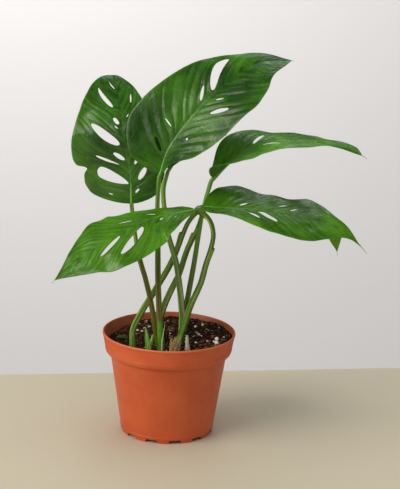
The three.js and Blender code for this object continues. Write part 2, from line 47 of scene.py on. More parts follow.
# The pot and the mound of the soil are those of the CAD model. The blades are thinner than its 0.8 mm sheets.
POT = {
    "height": 93, "rim_radius": 60, "foot_radius": 41.5, "wall": 1.4, "lip_wall": 1.7,
    "collar_height": 18, "collar_radius": 56.5, "neck_radius": 52.3, "neck_height": 72,
    "floor_underside": 3.4, "floor_top": 5, "foot_wall": 1.8, "pad_radius": 10,
    "notches": 12, "notch_angle": 15, "notch_height": 3, "first_notch": 12,
    "drains": 6, "drain_radius": 4, "drain_circle": 25,
}
SOIL_SURFACE = 81
SOIL_MOUND = {"height": 8, "from": -25, "to": 55, "towards": (0.6, 0.8)}
BLADE_THICKNESS = 0.55
DROOP_WIDTH = 40  # a half droops by its given angle over this width
STRAIGHT_END = 2.5  # how far a stalk runs straight into its blade
STALK_SINKS = 0.6  # how far a stalk's end lies below its blade, as a share of its radius


def hole(side, vein, inner, outer, width, lean=0, widest=0.5, taper=1.1):
    """A hole between two side veins: where its vein leaves the midrib, its ends as shares of the way to the
    margin, its width in mm, how much further forward its outer end leans, where it is widest, and how
    evenly it narrows to its ends: blunt below 1."""
    return {"side": side, "vein": vein, "inner": inner, "outer": outer, "width": width, "lean": lean,
            "widest": widest, "taper": taper}


# Each leaf: points of the midrib, (turn, tilt) of the upper face at even steps, half widths at shares of the
# length, fold and droop of the halves in degrees, how far the side veins sweep forward, the holes, and the
# stalk with its radius at the foot and the top. These are the CAD model's values, but for most of the holes
# of leaves a to e, the left margin of leaf a, the upper part of stalk f, and the radii of stalks a, b and f.
# For the looks alone: quilt is how far the blade bulges between two side veins, rib_end is where its pale
# midrib has sunk into a groove, thread is the length of its dry tip, wing the way that the stalk's sheath
# faces, in degrees from the front towards +X, ear the height at which that sheath ends, and knot how much
# the stalk swells just below the blade, as a share of its radius: SLIGHT_KNOT where it isn't given.
SHARES = [0.06, 0.2, 0.4, 0.6, 0.8, 0.94, 1]
SLIGHT_KNOT = 0.1
LEAVES = {
    "a": {
        "midrib": [(-37, 20, 205), (-39, 21, 236), (-46, 19, 266), (-49, 36, 292), (-57, 57, 311),
                   (-61, 69, 313)],
        "face": [(-7, 2), (-7, 5), (-2, 16), (3, 44), (2, 80)],
        "left": ([0.06, 0.14, 0.2, 0.275, 0.3, 0.38, 0.55, 0.72, 0.86, 1],
                 [38, 44, 44, 39.5, 48, 50, 43, 36, 24, 0]),
        "right": ([0.06, 0.2, 0.4, 0.55, 0.72, 0.86, 1], [23, 31, 33, 29, 20, 13, 0]),
        "fold": {"left": [-4, -2, 4], "right": [1, 0, -1]},
        "droop": {"left": [8, 10, 8], "right": [18, 14, 9]},
        "sweep": 0.34,
        "holes": [
            hole("left", 0.036, 0.43, 0.57, 1.5), hole("left", 0.108, 0.03, 0.74, 13.5, -0.04, 0.76),
            hole("left", 0.21, 0.2, 0.57, 3.6, 0, 0.6), hole("left", 0.288, 0.04, 0.25, 6),
            hole("left", 0.379, 0.06, 0.66, 8.2, -0.03, 0.4), hole("left", 0.492, 0.06, 0.17, 1.8),
            hole("left", 0.535, 0.03, 0.2, 5.5), hole("left", 0.675, 0.17, 0.64, 6.5, 0.08, 0.4),
            hole("left", 0.829, 0.04, 0.24, 2.8, 0.05), hole("right", 0.058, 0.14, 0.32, 3),
            hole("right", 0.121, 0.21, 0.5, 7), hole("right", 0.22, 0.14, 0.6, 6),
            hole("right", 0.33, 0.1, 0.6, 6), hole("right", 0.43, 0.15, 0.66, 5),
            hole("right", 0.549, 0.14, 0.26, 2.2), hole("right", 0.6, 0.41, 0.61, 3.5, 0.02),
        ],
        "stalk": [(-9, -3, 59), (-10, -4, 82), (-13, -4, 96), (-17.2, -2, 119), (-22.7, 2, 140),
                  (-28.5, 8, 157), (-32.5, 14, 176)],
        "radius": (2.1, 1.7), "quilt": 1.4, "rib_end": 0.4, "thread": 2, "wing": 150, "ear": 168,
    },
    "b": {
        "midrib": [(-12, 1, 236), (-2, 4, 264), (31, 12, 306), (69, 27, 333), (102, 32, 337)],
        "face": [(-20, 24), (0, 50), (0, 68)],
        "left": (SHARES, [30, 46, 42, 35, 19, 6, 0]),
        "right": (SHARES, [7, 32, 40, 42, 33, 13, 0]),
        "fold": {"left": [19, 7, -6], "right": [30, 11, 3]},
        "droop": {"left": [2, 4, 12], "right": [6, 7, 8]},
        "sweep": 0.32,
        "holes": [
            hole("left", 0.101, 0.1, 0.37, 4.5), hole("left", 0.186, 0.18, 0.41, 1.4, -0.04),
            hole("left", 0.431, 0.07, 0.33, 4.2, 0, 0.4),
            hole("left", 0.51, 0.05, 0.8, 11.5, -0.025, 0.62, 0.7),
            hole("right", 0.167, 0.19, 0.44, 4.5), hole("right", 0.348, 0.3, 0.6, 6.5),
            hole("right", 0.459, 0.16, 0.31, 2.2),
        ],
        "stalk": [(-7, -20, 59), (-7, -20, 80), (-8, -20, 96), (-9, -19, 111), (-11, -15, 144),
                  (-12, -9, 173), (-13, -4, 207)],
        "radius": (2.4, 1.9), "quilt": 2.2, "rib_end": 0.42, "thread": 2, "wing": 170, "ear": 196,
    },
    "c": {
        "midrib": [(35, 9, 233), (60, 11, 257), (91, 12, 270), (139, 11, 266), (166, 5, 259)],
        "face": [(-66, 25), (10, 80), (-1, 86)],
        "left": (SHARES, [15, 31, 37, 31, 14, 10, 0]),
        "right": (SHARES, [24, 30, 33, 30, 22, 8, 0]),
        "fold": {"left": [5, -8, 10], "right": [67, 9, 21]},
        "droop": {"left": [10, 14, 8], "right": [10, 10, 7]},
        "sweep": 0.34,
        "holes": [
            hole("left", 0.297, 0.05, 0.38, 6, -0.03), hole("left", 0.42, 0.2, 0.6, 3.5),
            hole("right", 0.135, 0.4, 0.58, 3), hole("right", 0.305, 0.3, 0.54, 5, 0.06),
            hole("right", 0.571, 0.09, 0.47, 5, 0.03),
        ],
        "stalk": [(9, 7, 59), (10, 6, 82), (12, 5, 104), (15, 4, 118), (18, 4, 137), (21, 5, 157),
                  (24, 7, 181), (27, 8, 202)],
        "radius": (2.9, 1.8), "quilt": 1.3, "rib_end": 0.4, "thread": 5, "wing": 180, "ear": 70,
    },
    "d": {
        "midrib": [(20.5, -21, 211), (-16, -31, 205), (-40, -49, 197), (-71, -58, 179), (-98, -68, 157)],
        "face": [(-21, 79), (-1, 59), (-10, 41)],
        "left": (SHARES, [15, 31, 34, 33, 20, 6, 0]),
        "right": (SHARES, [14, 17, 27, 31, 13, 3, 0]),
        "fold": {"left": [14, 1, 8], "right": [-3, -10, 8]},
        "droop": {"left": [8, 12, 8], "right": [15, 13, 6]},
        "sweep": 0.36,
        "holes": [
            hole("left", 0.082, 0.2, 0.38, 1.5), hole("left", 0.19, 0.1, 0.32, 6.5, 0.03),
            hole("left", 0.353, 0.14, 0.64, 13, 0.03), hole("left", 0.546, 0.05, 0.38, 10, 0.07),
            hole("right", 0.16, 0.2, 0.5, 3), hole("right", 0.292, 0.22, 0.5, 5.5, 0.06),
        ],
        "stalk": [(7, -14, 59), (8, -14, 83), (10, -14, 92), (14, -14, 106), (18, -14, 120), (27, -15, 143),
                  (31, -17, 160), (36, -20, 179), (37, -23, 191), (33, -23, 203)],
        "radius": (2.8, 2), "quilt": 1.9, "rib_end": 0.55, "thread": 3, "wing": 70, "ear": 177, "knot": 0.5,
    },
    "e": {
        "midrib": [(27, -1, 209), (65, -8, 210), (100, -11, 208), (146, -16, 198), (167, -22, 183)],
        "face": [(-4, 70), (-1, 76), (26, 55)],
        "left": (SHARES, [24, 33, 30, 38, 12, 2, 0]),
        "right": (SHARES, [19, 22, 38, 41, 21, 3, 0]),
        "fold": {"left": [19, -1, 1], "right": [22, 6, 6]},
        "droop": {"left": [5, 8, 8], "right": [3, 13, 12]},
        "sweep": 0.3,
        "holes": [
            hole("left", 0.193, 0.12, 0.3, 4), hole("left", 0.369, 0.3, 0.52, 4),
            hole("left", 0.483, 0.15, 0.32, 3.4), hole("right", 0.122, 0.28, 0.47, 2.4),
            hole("right", 0.215, 0.28, 0.56, 5.5), hole("right", 0.315, 0.06, 0.54, 8),
        ],
        "stalk": [(-31, -19, 62), (-32, -16, 82), (-32, -8, 95), (-24, 2, 111), (-14, 8, 127), (1, 9, 155),
                  (13, 4, 190), (18, 2, 199)],
        "radius": (2.7, 2), "quilt": 1.1, "rib_end": 0.5, "thread": 7, "wing": -70, "ear": 182, "knot": 0.5,
    },
    "f": {
        "midrib": [(-4, 12, 240), (10, 34, 256), (24, 57, 266), (36, 78, 269), (47, 98, 255)],
        "face": [(-60, 60), (-60, 75), (-60, 70)],
        "left": (SHARES, [7, 13, 19, 18, 11, 4, 0]),
        "right": (SHARES, [12, 19, 22, 19, 11, 4, 0]),
        "fold": {"left": [18, 8, 8], "right": [18, 8, 8]},
        "droop": {"left": [6, 10, 10], "right": [6, 10, 10]},
        "sweep": 0.32,
        "holes": [
            hole("left", 0.3, 0.15, 0.6, 4), hole("right", 0.2, 0.2, 0.6, 3),
            hole("right", 0.42, 0.15, 0.6, 4),
        ],
        "stalk": [(11, -3, 59), (11, -2, 84), (12, -3, 105), (11, -4, 119), (9, -3, 135), (5, -1, 158),
                  (-3, 3, 183), (-6.5, 6, 203), (-8, 7.5, 222)],
        "radius": (2.8, 1.6), "quilt": 0.7, "rib_end": 0.4, "thread": 2, "wing": -60, "ear": 228,
    },
    "g": {
        "midrib": [(31, 19, 206), (58, 40, 206), (89, 60, 201), (122, 70, 194), (146, 72, 178),
                   (154, 70, 153)],
        "face": [(-10, 100), (-10, 100), (30, 60)],
        "left": (SHARES, [7, 20, 31, 28, 18, 6, 0]),
        "right": (SHARES, [14, 26, 29, 25, 16, 6, 0]),
        "fold": {"left": [16, 6, 8], "right": [16, 6, 8]},
        "droop": {"left": [6, 12, 12], "right": [6, 12, 12]},
        "sweep": 0.32,
        "holes": [
            hole("left", 0.25, 0.14, 0.6, 5), hole("left", 0.45, 0.16, 0.6, 4),
            hole("right", 0.3, 0.14, 0.62, 6), hole("right", 0.5, 0.2, 0.55, 3),
        ],
        "stalk": [(-9.5, 4, 59), (-9.5, 4, 80), (-9, 4.5, 97), (-5.5, 6, 112), (0.5, 9, 127),
                  (7.5, 12.5, 142), (14.5, 18, 164), (23, 19, 184)],
        "radius": (2.9, 2), "quilt": 0.8, "rib_end": 0.4, "thread": 3, "wing": -75, "ear": 179,
    },
}

# Small growth at the foot of the clump, as points from the soil upwards: the new shoot and its side leaf, two
# dry sheaths, a thin stipule, and the fresh sheath round the foot of stalk b.
SHOOT = [(-17, -26, 62), (-17.5, -26, 82), (-19, -25.5, 94), (-20.5, -24.5, 104)]
SHOOT_LEAF = [(-17.5, -26, 82), (-15, -26, 90), (-13.4, -25, 98)]
HUSKS = {
    "left": [(4.5, -27, 72), (4.5, -27, 82), (5.5, -26, 91), (7, -25, 97)],
    "right": [(17, -22, 72), (17, -22, 83), (16.5, -22, 91), (16, -21, 98)],
}
STIPULE = [(-5.5, -23.4, 78), (-5.6, -23.4, 90), (-4.6, -22.8, 98), (-3.4, -22, 108)]
FRESH_SHEATH = [(-7, -20, 74), (-7, -20, 87), (-7.9, -20, 99), (-9, -19, 111)]

# ---------------------------------------------------------------- camera

CAMERA_PLACE = (25.6, -1481, 564.2)
CAMERA_PITCH = 14.75  # degrees down
CAMERA_ROLL = 1.7  # degrees
FOCAL_PIXELS = 1720
PICTURE = (400, 489)
SENSOR = 36  # mm on the long side


def add_camera():
    pitch, roll = math.radians(CAMERA_PITCH), math.radians(CAMERA_ROLL)
    ahead = Vector((0, math.cos(pitch), -math.sin(pitch)))
    upright = Vector((0, math.sin(pitch), math.cos(pitch)))
    right = math.cos(roll) * Vector((1, 0, 0)) + math.sin(roll) * upright
    up = right.cross(ahead)
    bpy.ops.object.camera_add()
    camera = bpy.context.object
    camera.name = "camera"
    turn = Matrix((right, up, -ahead)).transposed().to_4x4()
    camera.matrix_world = Matrix.Translation(Vector(CAMERA_PLACE) * MM) @ turn
    camera.data.sensor_width = SENSOR
    camera.data.lens = FOCAL_PIXELS * SENSOR / max(PICTURE)
    camera.data.clip_end = 20
    bpy.context.scene.camera = camera


# ---------------------------------------------------------------- modelling helpers


def only(*pieces):
    """Selects just these pieces, with the first one active."""
    bpy.ops.object.select_all(action="DESELECT")
    for piece in pieces:
        piece.select_set(True)
    bpy.context.view_layer.objects.active = pieces[0]


@contextmanager
def editing(piece, wanted_edge=None):
    """Edit mode on one piece, with only its wanted edges selected, or all of it where none are asked for."""
    only(piece)
    bpy.ops.object.mode_set(mode="EDIT")
    bpy.ops.mesh.select_mode(type="EDGE" if wanted_edge else "VERT")
    bpy.ops.mesh.select_all(action="DESELECT" if wanted_edge else "SELECT")
    if wanted_edge:
        for edge in bmesh.from_edit_mesh(piece.data).edges:
            if wanted_edge(edge):
                edge.select_set(True)
        bmesh.update_edit_mesh(piece.data)
    yield
    bpy.ops.object.mode_set(mode="OBJECT")


def named(name):
    """Names the piece that was just added, and its mesh."""
    piece = bpy.context.object
    piece.name = name
    piece.data.name = name
    return piece


def modify(piece, kind, **settings):
    """Adds one modifier, sets it and applies it."""
    only(piece)
    modifier = piece.modifiers.new(kind.lower(), kind)
    for key, value in settings.items():
        setattr(modifier, key, value)
    bpy.ops.object.modifier_apply(modifier=modifier.name)


def joined(*pieces):
    """Joins pieces into the first of them."""
    only(*pieces)
    bpy.ops.object.join()
    return bpy.context.object


def eased(value, low, high):
    """0 below low, 1 above high, and an even curve between them."""
    share = min(1, max(0, (value - low) / (high - low)))
    return share * share * (3 - 2 * share)


def bell(value, middle, width):
    """1 at the middle, falling away smoothly on both sides."""
    return math.exp(-(((value - middle) / width) ** 2))


def straight_value(places, values, at):
    """A value on the straight lines between the given values at the given places."""
    i = 0
    while i < len(places) - 2 and at > places[i + 1]:
        i += 1
    share = (at - places[i]) / (places[i + 1] - places[i])
    return values[i] + share * (values[i + 1] - values[i])


def smooth_value(places, values, at):
    """A smooth curve through the given values at the given places, which never swings past them."""
    last = len(places) - 1
    rates = [(values[k + 1] - values[k]) / (places[k + 1] - places[k]) for k in range(last)]

    def slope(k):
        if k in (0, last):
            return rates[min(k, last - 1)]
        before, after = rates[k - 1], rates[k]
        return 2 * before * after / (before + after) if before * after > 0 else 0

    i = min(last - 1, max(0, bisect_right(places, at) - 1))
    span = places[i + 1] - places[i]
    t = min(1, max(0, (at - places[i]) / span))
    rise = values[i + 1] - values[i]
    a, b = slope(i) * span - rise, rise - slope(i + 1) * span
    return values[i] + t * rise + t * (1 - t) * ((1 - t) * a + t * b)


def evenly(values, at):
    """A smooth curve through values that lie at even steps from 0 to 1."""
    return smooth_value([i / (len(values) - 1) for i in range(len(values))], values, at)


class Route:
    """A smooth curve through points, walked by the share of its length. A taut one doesn't swing out where
    two of its points lie close together."""

    def __init__(self, points, steps=32, taut=False):
        knots = [Vector(point) for point in points]
        knots = [2 * knots[0] - knots[1], *knots, 2 * knots[-1] - knots[-2]]
        self.places = []
        for a, b, c, d in zip(knots, knots[1:], knots[2:], knots[3:]):
            first, last = (c - a) / 2, (d - b) / 2
            if taut:
                before, here, after = (b - a).length, (c - b).length, (d - c).length
                first *= 2 * here / (before + here)
                last *= 2 * here / (here + after)
            for step in range(steps):
                t = step / steps
                leave, arrive = t * (1 - t) ** 2 * first, t**2 * (t - 1) * last
                self.places.append(b + (3 - 2 * t) * t**2 * (c - b) + leave + arrive)
        self.places.append(knots[-2])
        self.walked = [0]
        for here, there in zip(self.places, self.places[1:]):
            self.walked.append(self.walked[-1] + (there - here).length)
        self.length = self.walked[-1]

    def point(self, share):
        way = min(1, max(0, share)) * self.length
        i = min(len(self.places) - 2, bisect_right(self.walked, way) - 1)
        before, after = self.walked[i], self.walked[i + 1]
        return self.places[i].lerp(self.places[i + 1], (way - before) / (after - before))

    def heading(self, share, reach=0.004):
        return (self.point(share + reach) - self.point(share - reach)).normalized()

    def share_at_height(self, height):
        return next((k / 400 for k in range(401) if self.point(k / 400).z > height), 1)


def bent_tube(name, route, toward, radius, sides=16, rings=60):
    """A cylinder cut into rings and bent along a route. radius(share, turn) is in mm, with turn in degrees
    from the way that toward(share) faces. The straight cylinder's own places stay in the attribute unbent."""
    bpy.ops.mesh.primitive_cylinder_add(vertices=sides, radius=1, depth=1, end_fill_type="TRIFAN")
    tube = named(name)
    with editing(tube, lambda edge: abs(edge.verts[0].co.z - edge.verts[1].co.z) > 0.5):
        bpy.ops.mesh.subdivide(number_cuts=rings - 1)
    unbent = tube.data.attributes.new("unbent", "FLOAT_VECTOR", "POINT")
    for vertex, straight in zip(tube.data.vertices, unbent.data):
        share = vertex.co.z + 0.5
        heading = route.heading(share)
        first = Vector(toward(share))
        first = (first - first.dot(heading) * heading).normalized()
        second = heading.cross(first)
        turn = math.degrees(math.atan2(vertex.co.y, vertex.co.x))
        out = Vector((vertex.co.x, vertex.co.y)).length * radius(share, turn)
        x, y = out * math.cos(math.radians(turn)), out * math.sin(math.radians(turn))
        straight.vector = (x, y, share * route.length)
        vertex.co = (route.point(share) + x * first + y * second) * MM
    return tube


def turned(name, outline, steps):
    """A turned shape: a point drawn out along the outline and spun about the upright axis."""
    bpy.ops.mesh.primitive_plane_add(size=MM)
    piece = named(name)
    with editing(piece):
        bpy.ops.mesh.merge(type="CENTER")
        radius, height = outline[0]
        bpy.ops.transform.translate(value=(radius * MM, 0, height * MM))
        for (r0, z0), (r1, z1) in zip(outline, outline[1:]):
            bpy.ops.mesh.extrude_region_move(
                TRANSFORM_OT_translate={"value": ((r1 - r0) * MM, 0, (z1 - z0) * MM)}
            )
        bpy.ops.mesh.select_all(action="SELECT")
        bpy.ops.mesh.spin(steps=steps, angle=2 * math.pi, center=(0, 0, 0), axis=(0, 0, 1))
        bpy.ops.mesh.select_all(action="SELECT")
        bpy.ops.mesh.remove_doubles(threshold=0.01 * MM)
        bpy.ops.mesh.normals_make_consistent(inside=False)
    return piece


def finished(piece, materials=(), replaces=(), sharp=60):
    """Settles a piece: its place in its mesh, its finish, and the body that it rides on. Its edges show from
    an angle of sharp degrees."""
    only(piece)
    bpy.ops.object.transform_apply(location=True, rotation=True, scale=True)
    bpy.ops.object.shade_smooth_by_angle(angle=math.radians(sharp))
    for material in materials:
        piece.data.materials.append(material)
    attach(piece, "root")
    if replaces:
        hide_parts(*replaces)
    return piece


# ---------------------------------------------------------------- materials


def linear(colour):
    """An sRGB hex colour as linear RGBA."""
    channels = [int(colour[i : i + 2], 16) / 255 for i in (1, 3, 5)]
    return (*[c / 12.92 if c <= 0.04045 else ((c + 0.055) / 1.055) ** 2.4 for c in channels], 1)


def fill(socket, value):
    """Sets a socket to a value. A colour is given as hex."""
    socket.default_value = linear(value) if isinstance(value, str) else value


def node(tree, kind, sockets=None, **settings):
    """Adds a node with its settings. A socket gets the value given, or a link if that is another socket."""
    made = tree.nodes.new(kind)
    for key, value in settings.items():
        setattr(made, key, value)
    for key, value in (sockets or {}).items():
        if isinstance(value, bpy.types.NodeSocket):
            tree.links.new(value, made.inputs[key])
        else:
            fill(made.inputs[key], value)
    return made


def new_material(name, **uniform):
    """A material's node tree and its shader, with the values that are the same all over the surface."""
    material = bpy.data.materials.new(name)
    material.use_nodes = True
    shader = material.node_tree.nodes["Principled BSDF"]
    for key, value in uniform.items():
        fill(shader.inputs[key.replace("_", " ")], value)
    return material, material.node_tree, shader


LEAF_LIGHT = (0.8, 1.6, 0.2)  # how far red, green and blue light go, in blade thicknesses


# A leaf's face: a waxy skin over green flesh, with lighter and darker streaks out along the side veins, a
# thin bright margin and a paler midrib. The wax swells and dips a little, so its sheen breaks up in blotches.
# It is smoother on the upper face, and the lower face is paler and matt. Light shines through, most of all
# green.
def make_leaf_skin(name, deep, fresh, groove, rib, margin, roughness, gloss, bump):
    material, tree, shader = new_material(
        name, IOR=1.45, Specular_IOR_Level=gloss, Subsurface_Weight=0.3, Subsurface_Radius=LEAF_LIGHT,
        Subsurface_Scale=BLADE_THICKNESS * MM,
    )
    place = node(tree, "ShaderNodeTexCoord").outputs["Object"]
    net = node(tree, "ShaderNodeUVMap", uv_map="net").outputs[0]
    span = node(tree, "ShaderNodeUVMap", uv_map="span").outputs[0]
    cloud = node(tree, "ShaderNodeTexNoise", {"Vector": place, "Scale": 30, "Detail": 3}).outputs[0]
    along_veins = node(tree, "ShaderNodeMapping", {"Vector": net, "Scale": (1.5, 1.1, 1)}).outputs[0]
    streak = node(tree, "ShaderNodeTexNoise", {"Vector": along_veins, "Scale": 1, "Detail": 4}).outputs[0]
    both = node(tree, "ShaderNodeMath", {0: cloud, 1: streak}, operation="ADD").outputs[0]
    mottle = node(tree, "ShaderNodeMapRange", {0: both, 1: 0.8, 2: 1.22}).outputs[0]
    flesh = node(tree, "ShaderNodeMix", {0: mottle, 6: deep, 7: fresh}, data_type="RGBA").outputs[2]
    # the way out to the margin; the vein count is 0 on a side vein and 0.5 half way to the next one
    outward, vein = node(tree, "ShaderNodeSeparateXYZ", {0: net}).outputs[:2]
    off_vein = node(tree, "ShaderNodeMath", {0: vein, 1: 0.5}, operation="PINGPONG").outputs[0]
    # along each side vein the colour turns towards groove: on the upper faces a darker green, painted shade
    # in the sunk vein, and on the lower face the vein's own paler green
    in_groove = node(tree, "ShaderNodeMapRange", {0: off_vein, 1: 0.0, 2: 0.13, 3: 0.42, 4: 0.0}).outputs[0]
    grooved = node(tree, "ShaderNodeMix", {0: in_groove, 6: flesh, 7: groove}, data_type="RGBA").outputs[2]
    at_margin = node(tree, "ShaderNodeMapRange", {0: outward, 1: 0.93, 2: 1.0, 3: 0.0, 4: 0.3}).outputs[0]
    edged = node(tree, "ShaderNodeMix", {0: at_margin, 6: grooved, 7: margin}, data_type="RGBA").outputs[2]
    # the pale rib, by the mm from the midrib's middle and by how far along it the place is
    beside, along = node(tree, "ShaderNodeSeparateXYZ", {0: span}).outputs[:2]
    on_rib = node(tree, "ShaderNodeMapRange", {0: beside, 1: 0.2, 2: 0.95, 3: 1.0, 4: 0.0}).outputs[0]
    still_pale = node(tree, "ShaderNodeMapRange", {0: along, 1: 0.0, 2: 1.0, 3: 0.9, 4: 0.0}).outputs[0]
    pale = node(tree, "ShaderNodeMath", {0: on_rib, 1: still_pale}, operation="MULTIPLY").outputs[0]
    colour = node(tree, "ShaderNodeMix", {0: pale, 6: edged, 7: rib}, data_type="RGBA").outputs[2]
    tree.links.new(colour, shader.inputs["Base Color"])
    bloom = node(tree, "ShaderNodeTexNoise", {"Vector": place, "Scale": 110, "Detail": 5}).outputs[0]
    smoothest, roughest = roughness - 0.06, roughness + 0.1
    rough = node(tree, "ShaderNodeMapRange", {0: bloom, 1: 0.35, 2: 0.65, 3: smoothest, 4: roughest})
    tree.links.new(rough.outputs[0], shader.inputs["Roughness"])
    swell = node(tree, "ShaderNodeTexNoise", {"Vector": place, "Scale": 170, "Detail": 2}).outputs[0]
    swollen = node(
        tree, "ShaderNodeBump", {"Height": swell, "Strength": bump, "Distance": 1.2 * MM}
    ).outputs[0]
    cells = node(tree, "ShaderNodeTexVoronoi", {"Vector": place, "Scale": 420}, feature="DISTANCE_TO_EDGE")
    raised = node(tree, "ShaderNodeMapRange", {0: cells.outputs[0], 1: 0, 2: 0.12}).outputs[0]
    relief = node(
        tree, "ShaderNodeBump", {"Height": raised, "Strength": bump, "Distance": 0.1 * MM, "Normal": swollen}
    )
    tree.links.new(relief.outputs[0], shader.inputs["Normal"])
    return material


# Stalk skin: smooth and fibrous, with pale streaks and browned patches along it, and a paler sheath edge. The
# pale streaks and the sheath edge are partly the stalk's own colour and partly painted highlight lines. The
# colour of its foot turns to that of its top between two heights, in mm along the stalk.
def make_stalk_skin(name, foot, top, streak, browned, browning, wing, low, high):
    material, tree, shader = new_material(name, IOR=1.45, Roughness=0.25, Specular_IOR_Level=0.5)
    unbent = node(tree, "ShaderNodeAttribute", attribute_name="unbent").outputs["Vector"]
    height = node(tree, "ShaderNodeSeparateXYZ", {0: unbent}).outputs[2]
    rise = node(tree, "ShaderNodeMapRange", {0: height, 1: low, 2: high}).outputs[0]
    body = node(tree, "ShaderNodeMix", {0: rise, 6: foot, 7: top}, data_type="RGBA").outputs[2]
    fibres = node(tree, "ShaderNodeMapping", {"Vector": unbent, "Scale": (0.6, 0.6, 0.012)}).outputs[0]
    fibre = node(tree, "ShaderNodeTexNoise", {"Vector": fibres, "Scale": 1, "Detail": 4}).outputs[0]
    # pale streaks along the stalk: partly its own streaks, partly painted highlight lines
    share = node(tree, "ShaderNodeMapRange", {0: fibre, 1: 0.54, 2: 0.63, 3: 0, 4: 0.8}).outputs[0]
    body = node(tree, "ShaderNodeMix", {0: share, 6: body, 7: streak}, data_type="RGBA").outputs[2]
    patches = node(tree, "ShaderNodeMapping", {"Vector": unbent, "Scale": (0.4, 0.4, 0.02)}).outputs[0]
    patch = node(tree, "ShaderNodeTexNoise", {"Vector": patches, "Scale": 1, "Detail": 2}).outputs[0]
    begins, full = 0.62 - browning, 0.78 - browning
    share = node(tree, "ShaderNodeMapRange", {0: patch, 1: begins, 2: full, 4: 0.85}).outputs[0]
    body = node(tree, "ShaderNodeMix", {0: share, 6: body, 7: browned}, data_type="RGBA").outputs[2]
    # the sheath's paler edges: partly their own colour, partly painted highlight lines along them
    edge = node(tree, "ShaderNodeAttribute", attribute_name="wing").outputs["Fac"]
    colour = node(tree, "ShaderNodeMix", {0: edge, 6: body, 7: wing}, data_type="RGBA").outputs[2]
    tree.links.new(colour, shader.inputs["Base Color"])
    relief = node(tree, "ShaderNodeBump", {"Height": fibre, "Strength": 0.4, "Distance": 0.25 * MM})
    tree.links.new(relief.outputs[0], shader.inputs["Normal"])
    return material


# Moulded polypropylene: a satin skin with faint clouding, paler along the thin lip as a painted highlight of
# the light that comes through it.
# Inside, dust of the potting mix clings to it; there a darker, duller copy of it is painted shade.
def make_pot_plastic(name, deep, pale, dust, dust_share, lip):
    material, tree, shader = new_material(name, IOR=1.49, Specular_IOR_Level=0.5)
    place = node(tree, "ShaderNodeTexCoord").outputs["Object"]
    cloud = node(tree, "ShaderNodeTexNoise", {"Vector": place, "Scale": 35, "Detail": 3}).outputs[0]
    share = node(tree, "ShaderNodeMapRange", {0: cloud, 1: 0.35, 2: 0.7}).outputs[0]
    clean = node(tree, "ShaderNodeMix", {0: share, 6: deep, 7: pale}, data_type="RGBA").outputs[2]
    specks = node(tree, "ShaderNodeTexNoise", {"Vector": place, "Scale": 130, "Detail": 5}).outputs[0]
    begins, full = 0.62 - dust_share, 0.9 - dust_share
    share = node(tree, "ShaderNodeMapRange", {0: specks, 1: begins, 2: full, 4: 0.9}).outputs[0]
    dusty = node(tree, "ShaderNodeMix", {0: share, 6: clean, 7: dust}, data_type="RGBA").outputs[2]
    height = node(tree, "ShaderNodeSeparateXYZ", {0: place}).outputs[2]
    lip_from, lip_to = (POT["height"] - 1.6) * MM, (POT["height"] - 0.5) * MM
    # a painted highlight: towards the top of the lip the colour turns to lip
    lip_highlight_share = node(tree, "ShaderNodeMapRange", {0: height, 1: lip_from, 2: lip_to, 3: 0.0, 4: 0.6}).outputs[0]
    colour = node(tree, "ShaderNodeMix", {0: lip_highlight_share, 6: dusty, 7: lip}, data_type="RGBA").outputs[2]
    tree.links.new(colour, shader.inputs["Base Color"])
    rough = node(tree, "ShaderNodeMapRange", {0: specks, 1: 0.3, 2: 0.7, 3: 0.4, 4: 0.55}).outputs[0]
    tree.links.new(rough, shader.inputs["Roughness"])
    skin = node(tree, "ShaderNodeTexNoise", {"Vector": place, "Scale": 900, "Detail": 2}).outputs[0]
    relief = node(tree, "ShaderNodeBump", {"Height": skin, "Strength": 0.12, "Distance": 0.1 * MM})
    tree.links.new(relief.outputs[0], shader.inputs["Normal"])
    return material


# Loose matter: peat, bark, perlite and dried husk differ in their colours, the size of their patches (mm)
# and how rough they are. A grain's own shade makes some of them paler.
def make_matter(name, dark, middle, light, patch, roughness, bump):
    material, tree, shader = new_material(name, IOR=1.4, Roughness=roughness, Specular_IOR_Level=0.3)
    place = node(tree, "ShaderNodeTexCoord").outputs["Object"]
    scale = 1 / (patch * MM)
    cloud = node(tree, "ShaderNodeTexNoise", {"Vector": place, "Scale": scale, "Detail": 6}).outputs[0]
    share = node(tree, "ShaderNodeMapRange", {0: cloud, 1: 0.35, 2: 0.68}).outputs[0]
    body = node(tree, "ShaderNodeMix", {0: share, 6: dark, 7: middle}, data_type="RGBA").outputs[2]
    shade = node(tree, "ShaderNodeAttribute", attribute_name="shade").outputs["Fac"]
    colour = node(tree, "ShaderNodeMix", {0: shade, 6: body, 7: light}, data_type="RGBA").outputs[2]
    tree.links.new(colour, shader.inputs["Base Color"])
    fine = node(tree, "ShaderNodeTexNoise", {"Vector": place, "Scale": 4 * scale, "Detail": 6}).outputs[0]
    relief = node(tree, "ShaderNodeBump", {"Height": fine, "Strength": bump, "Distance": 0.6 * MM})
    tree.links.new(relief.outputs[0], shader.inputs["Normal"])
    return material


# ---------------------------------------------------------------- leaves

ROWS = 96  # rows of the blade's net from stalk to tip
COLUMNS = 20  # and from midrib to margin
VEIN_SPACING = 0.055  # between two side veins, as a share of the leaf's length
RIB_GROOVE = 0.5  # depth in mm of the groove that the midrib sinks into
SWELLING = 1.3  # mm that a blade swells and dips in broad places
WAVE = 2.2  # mm that its margin waves


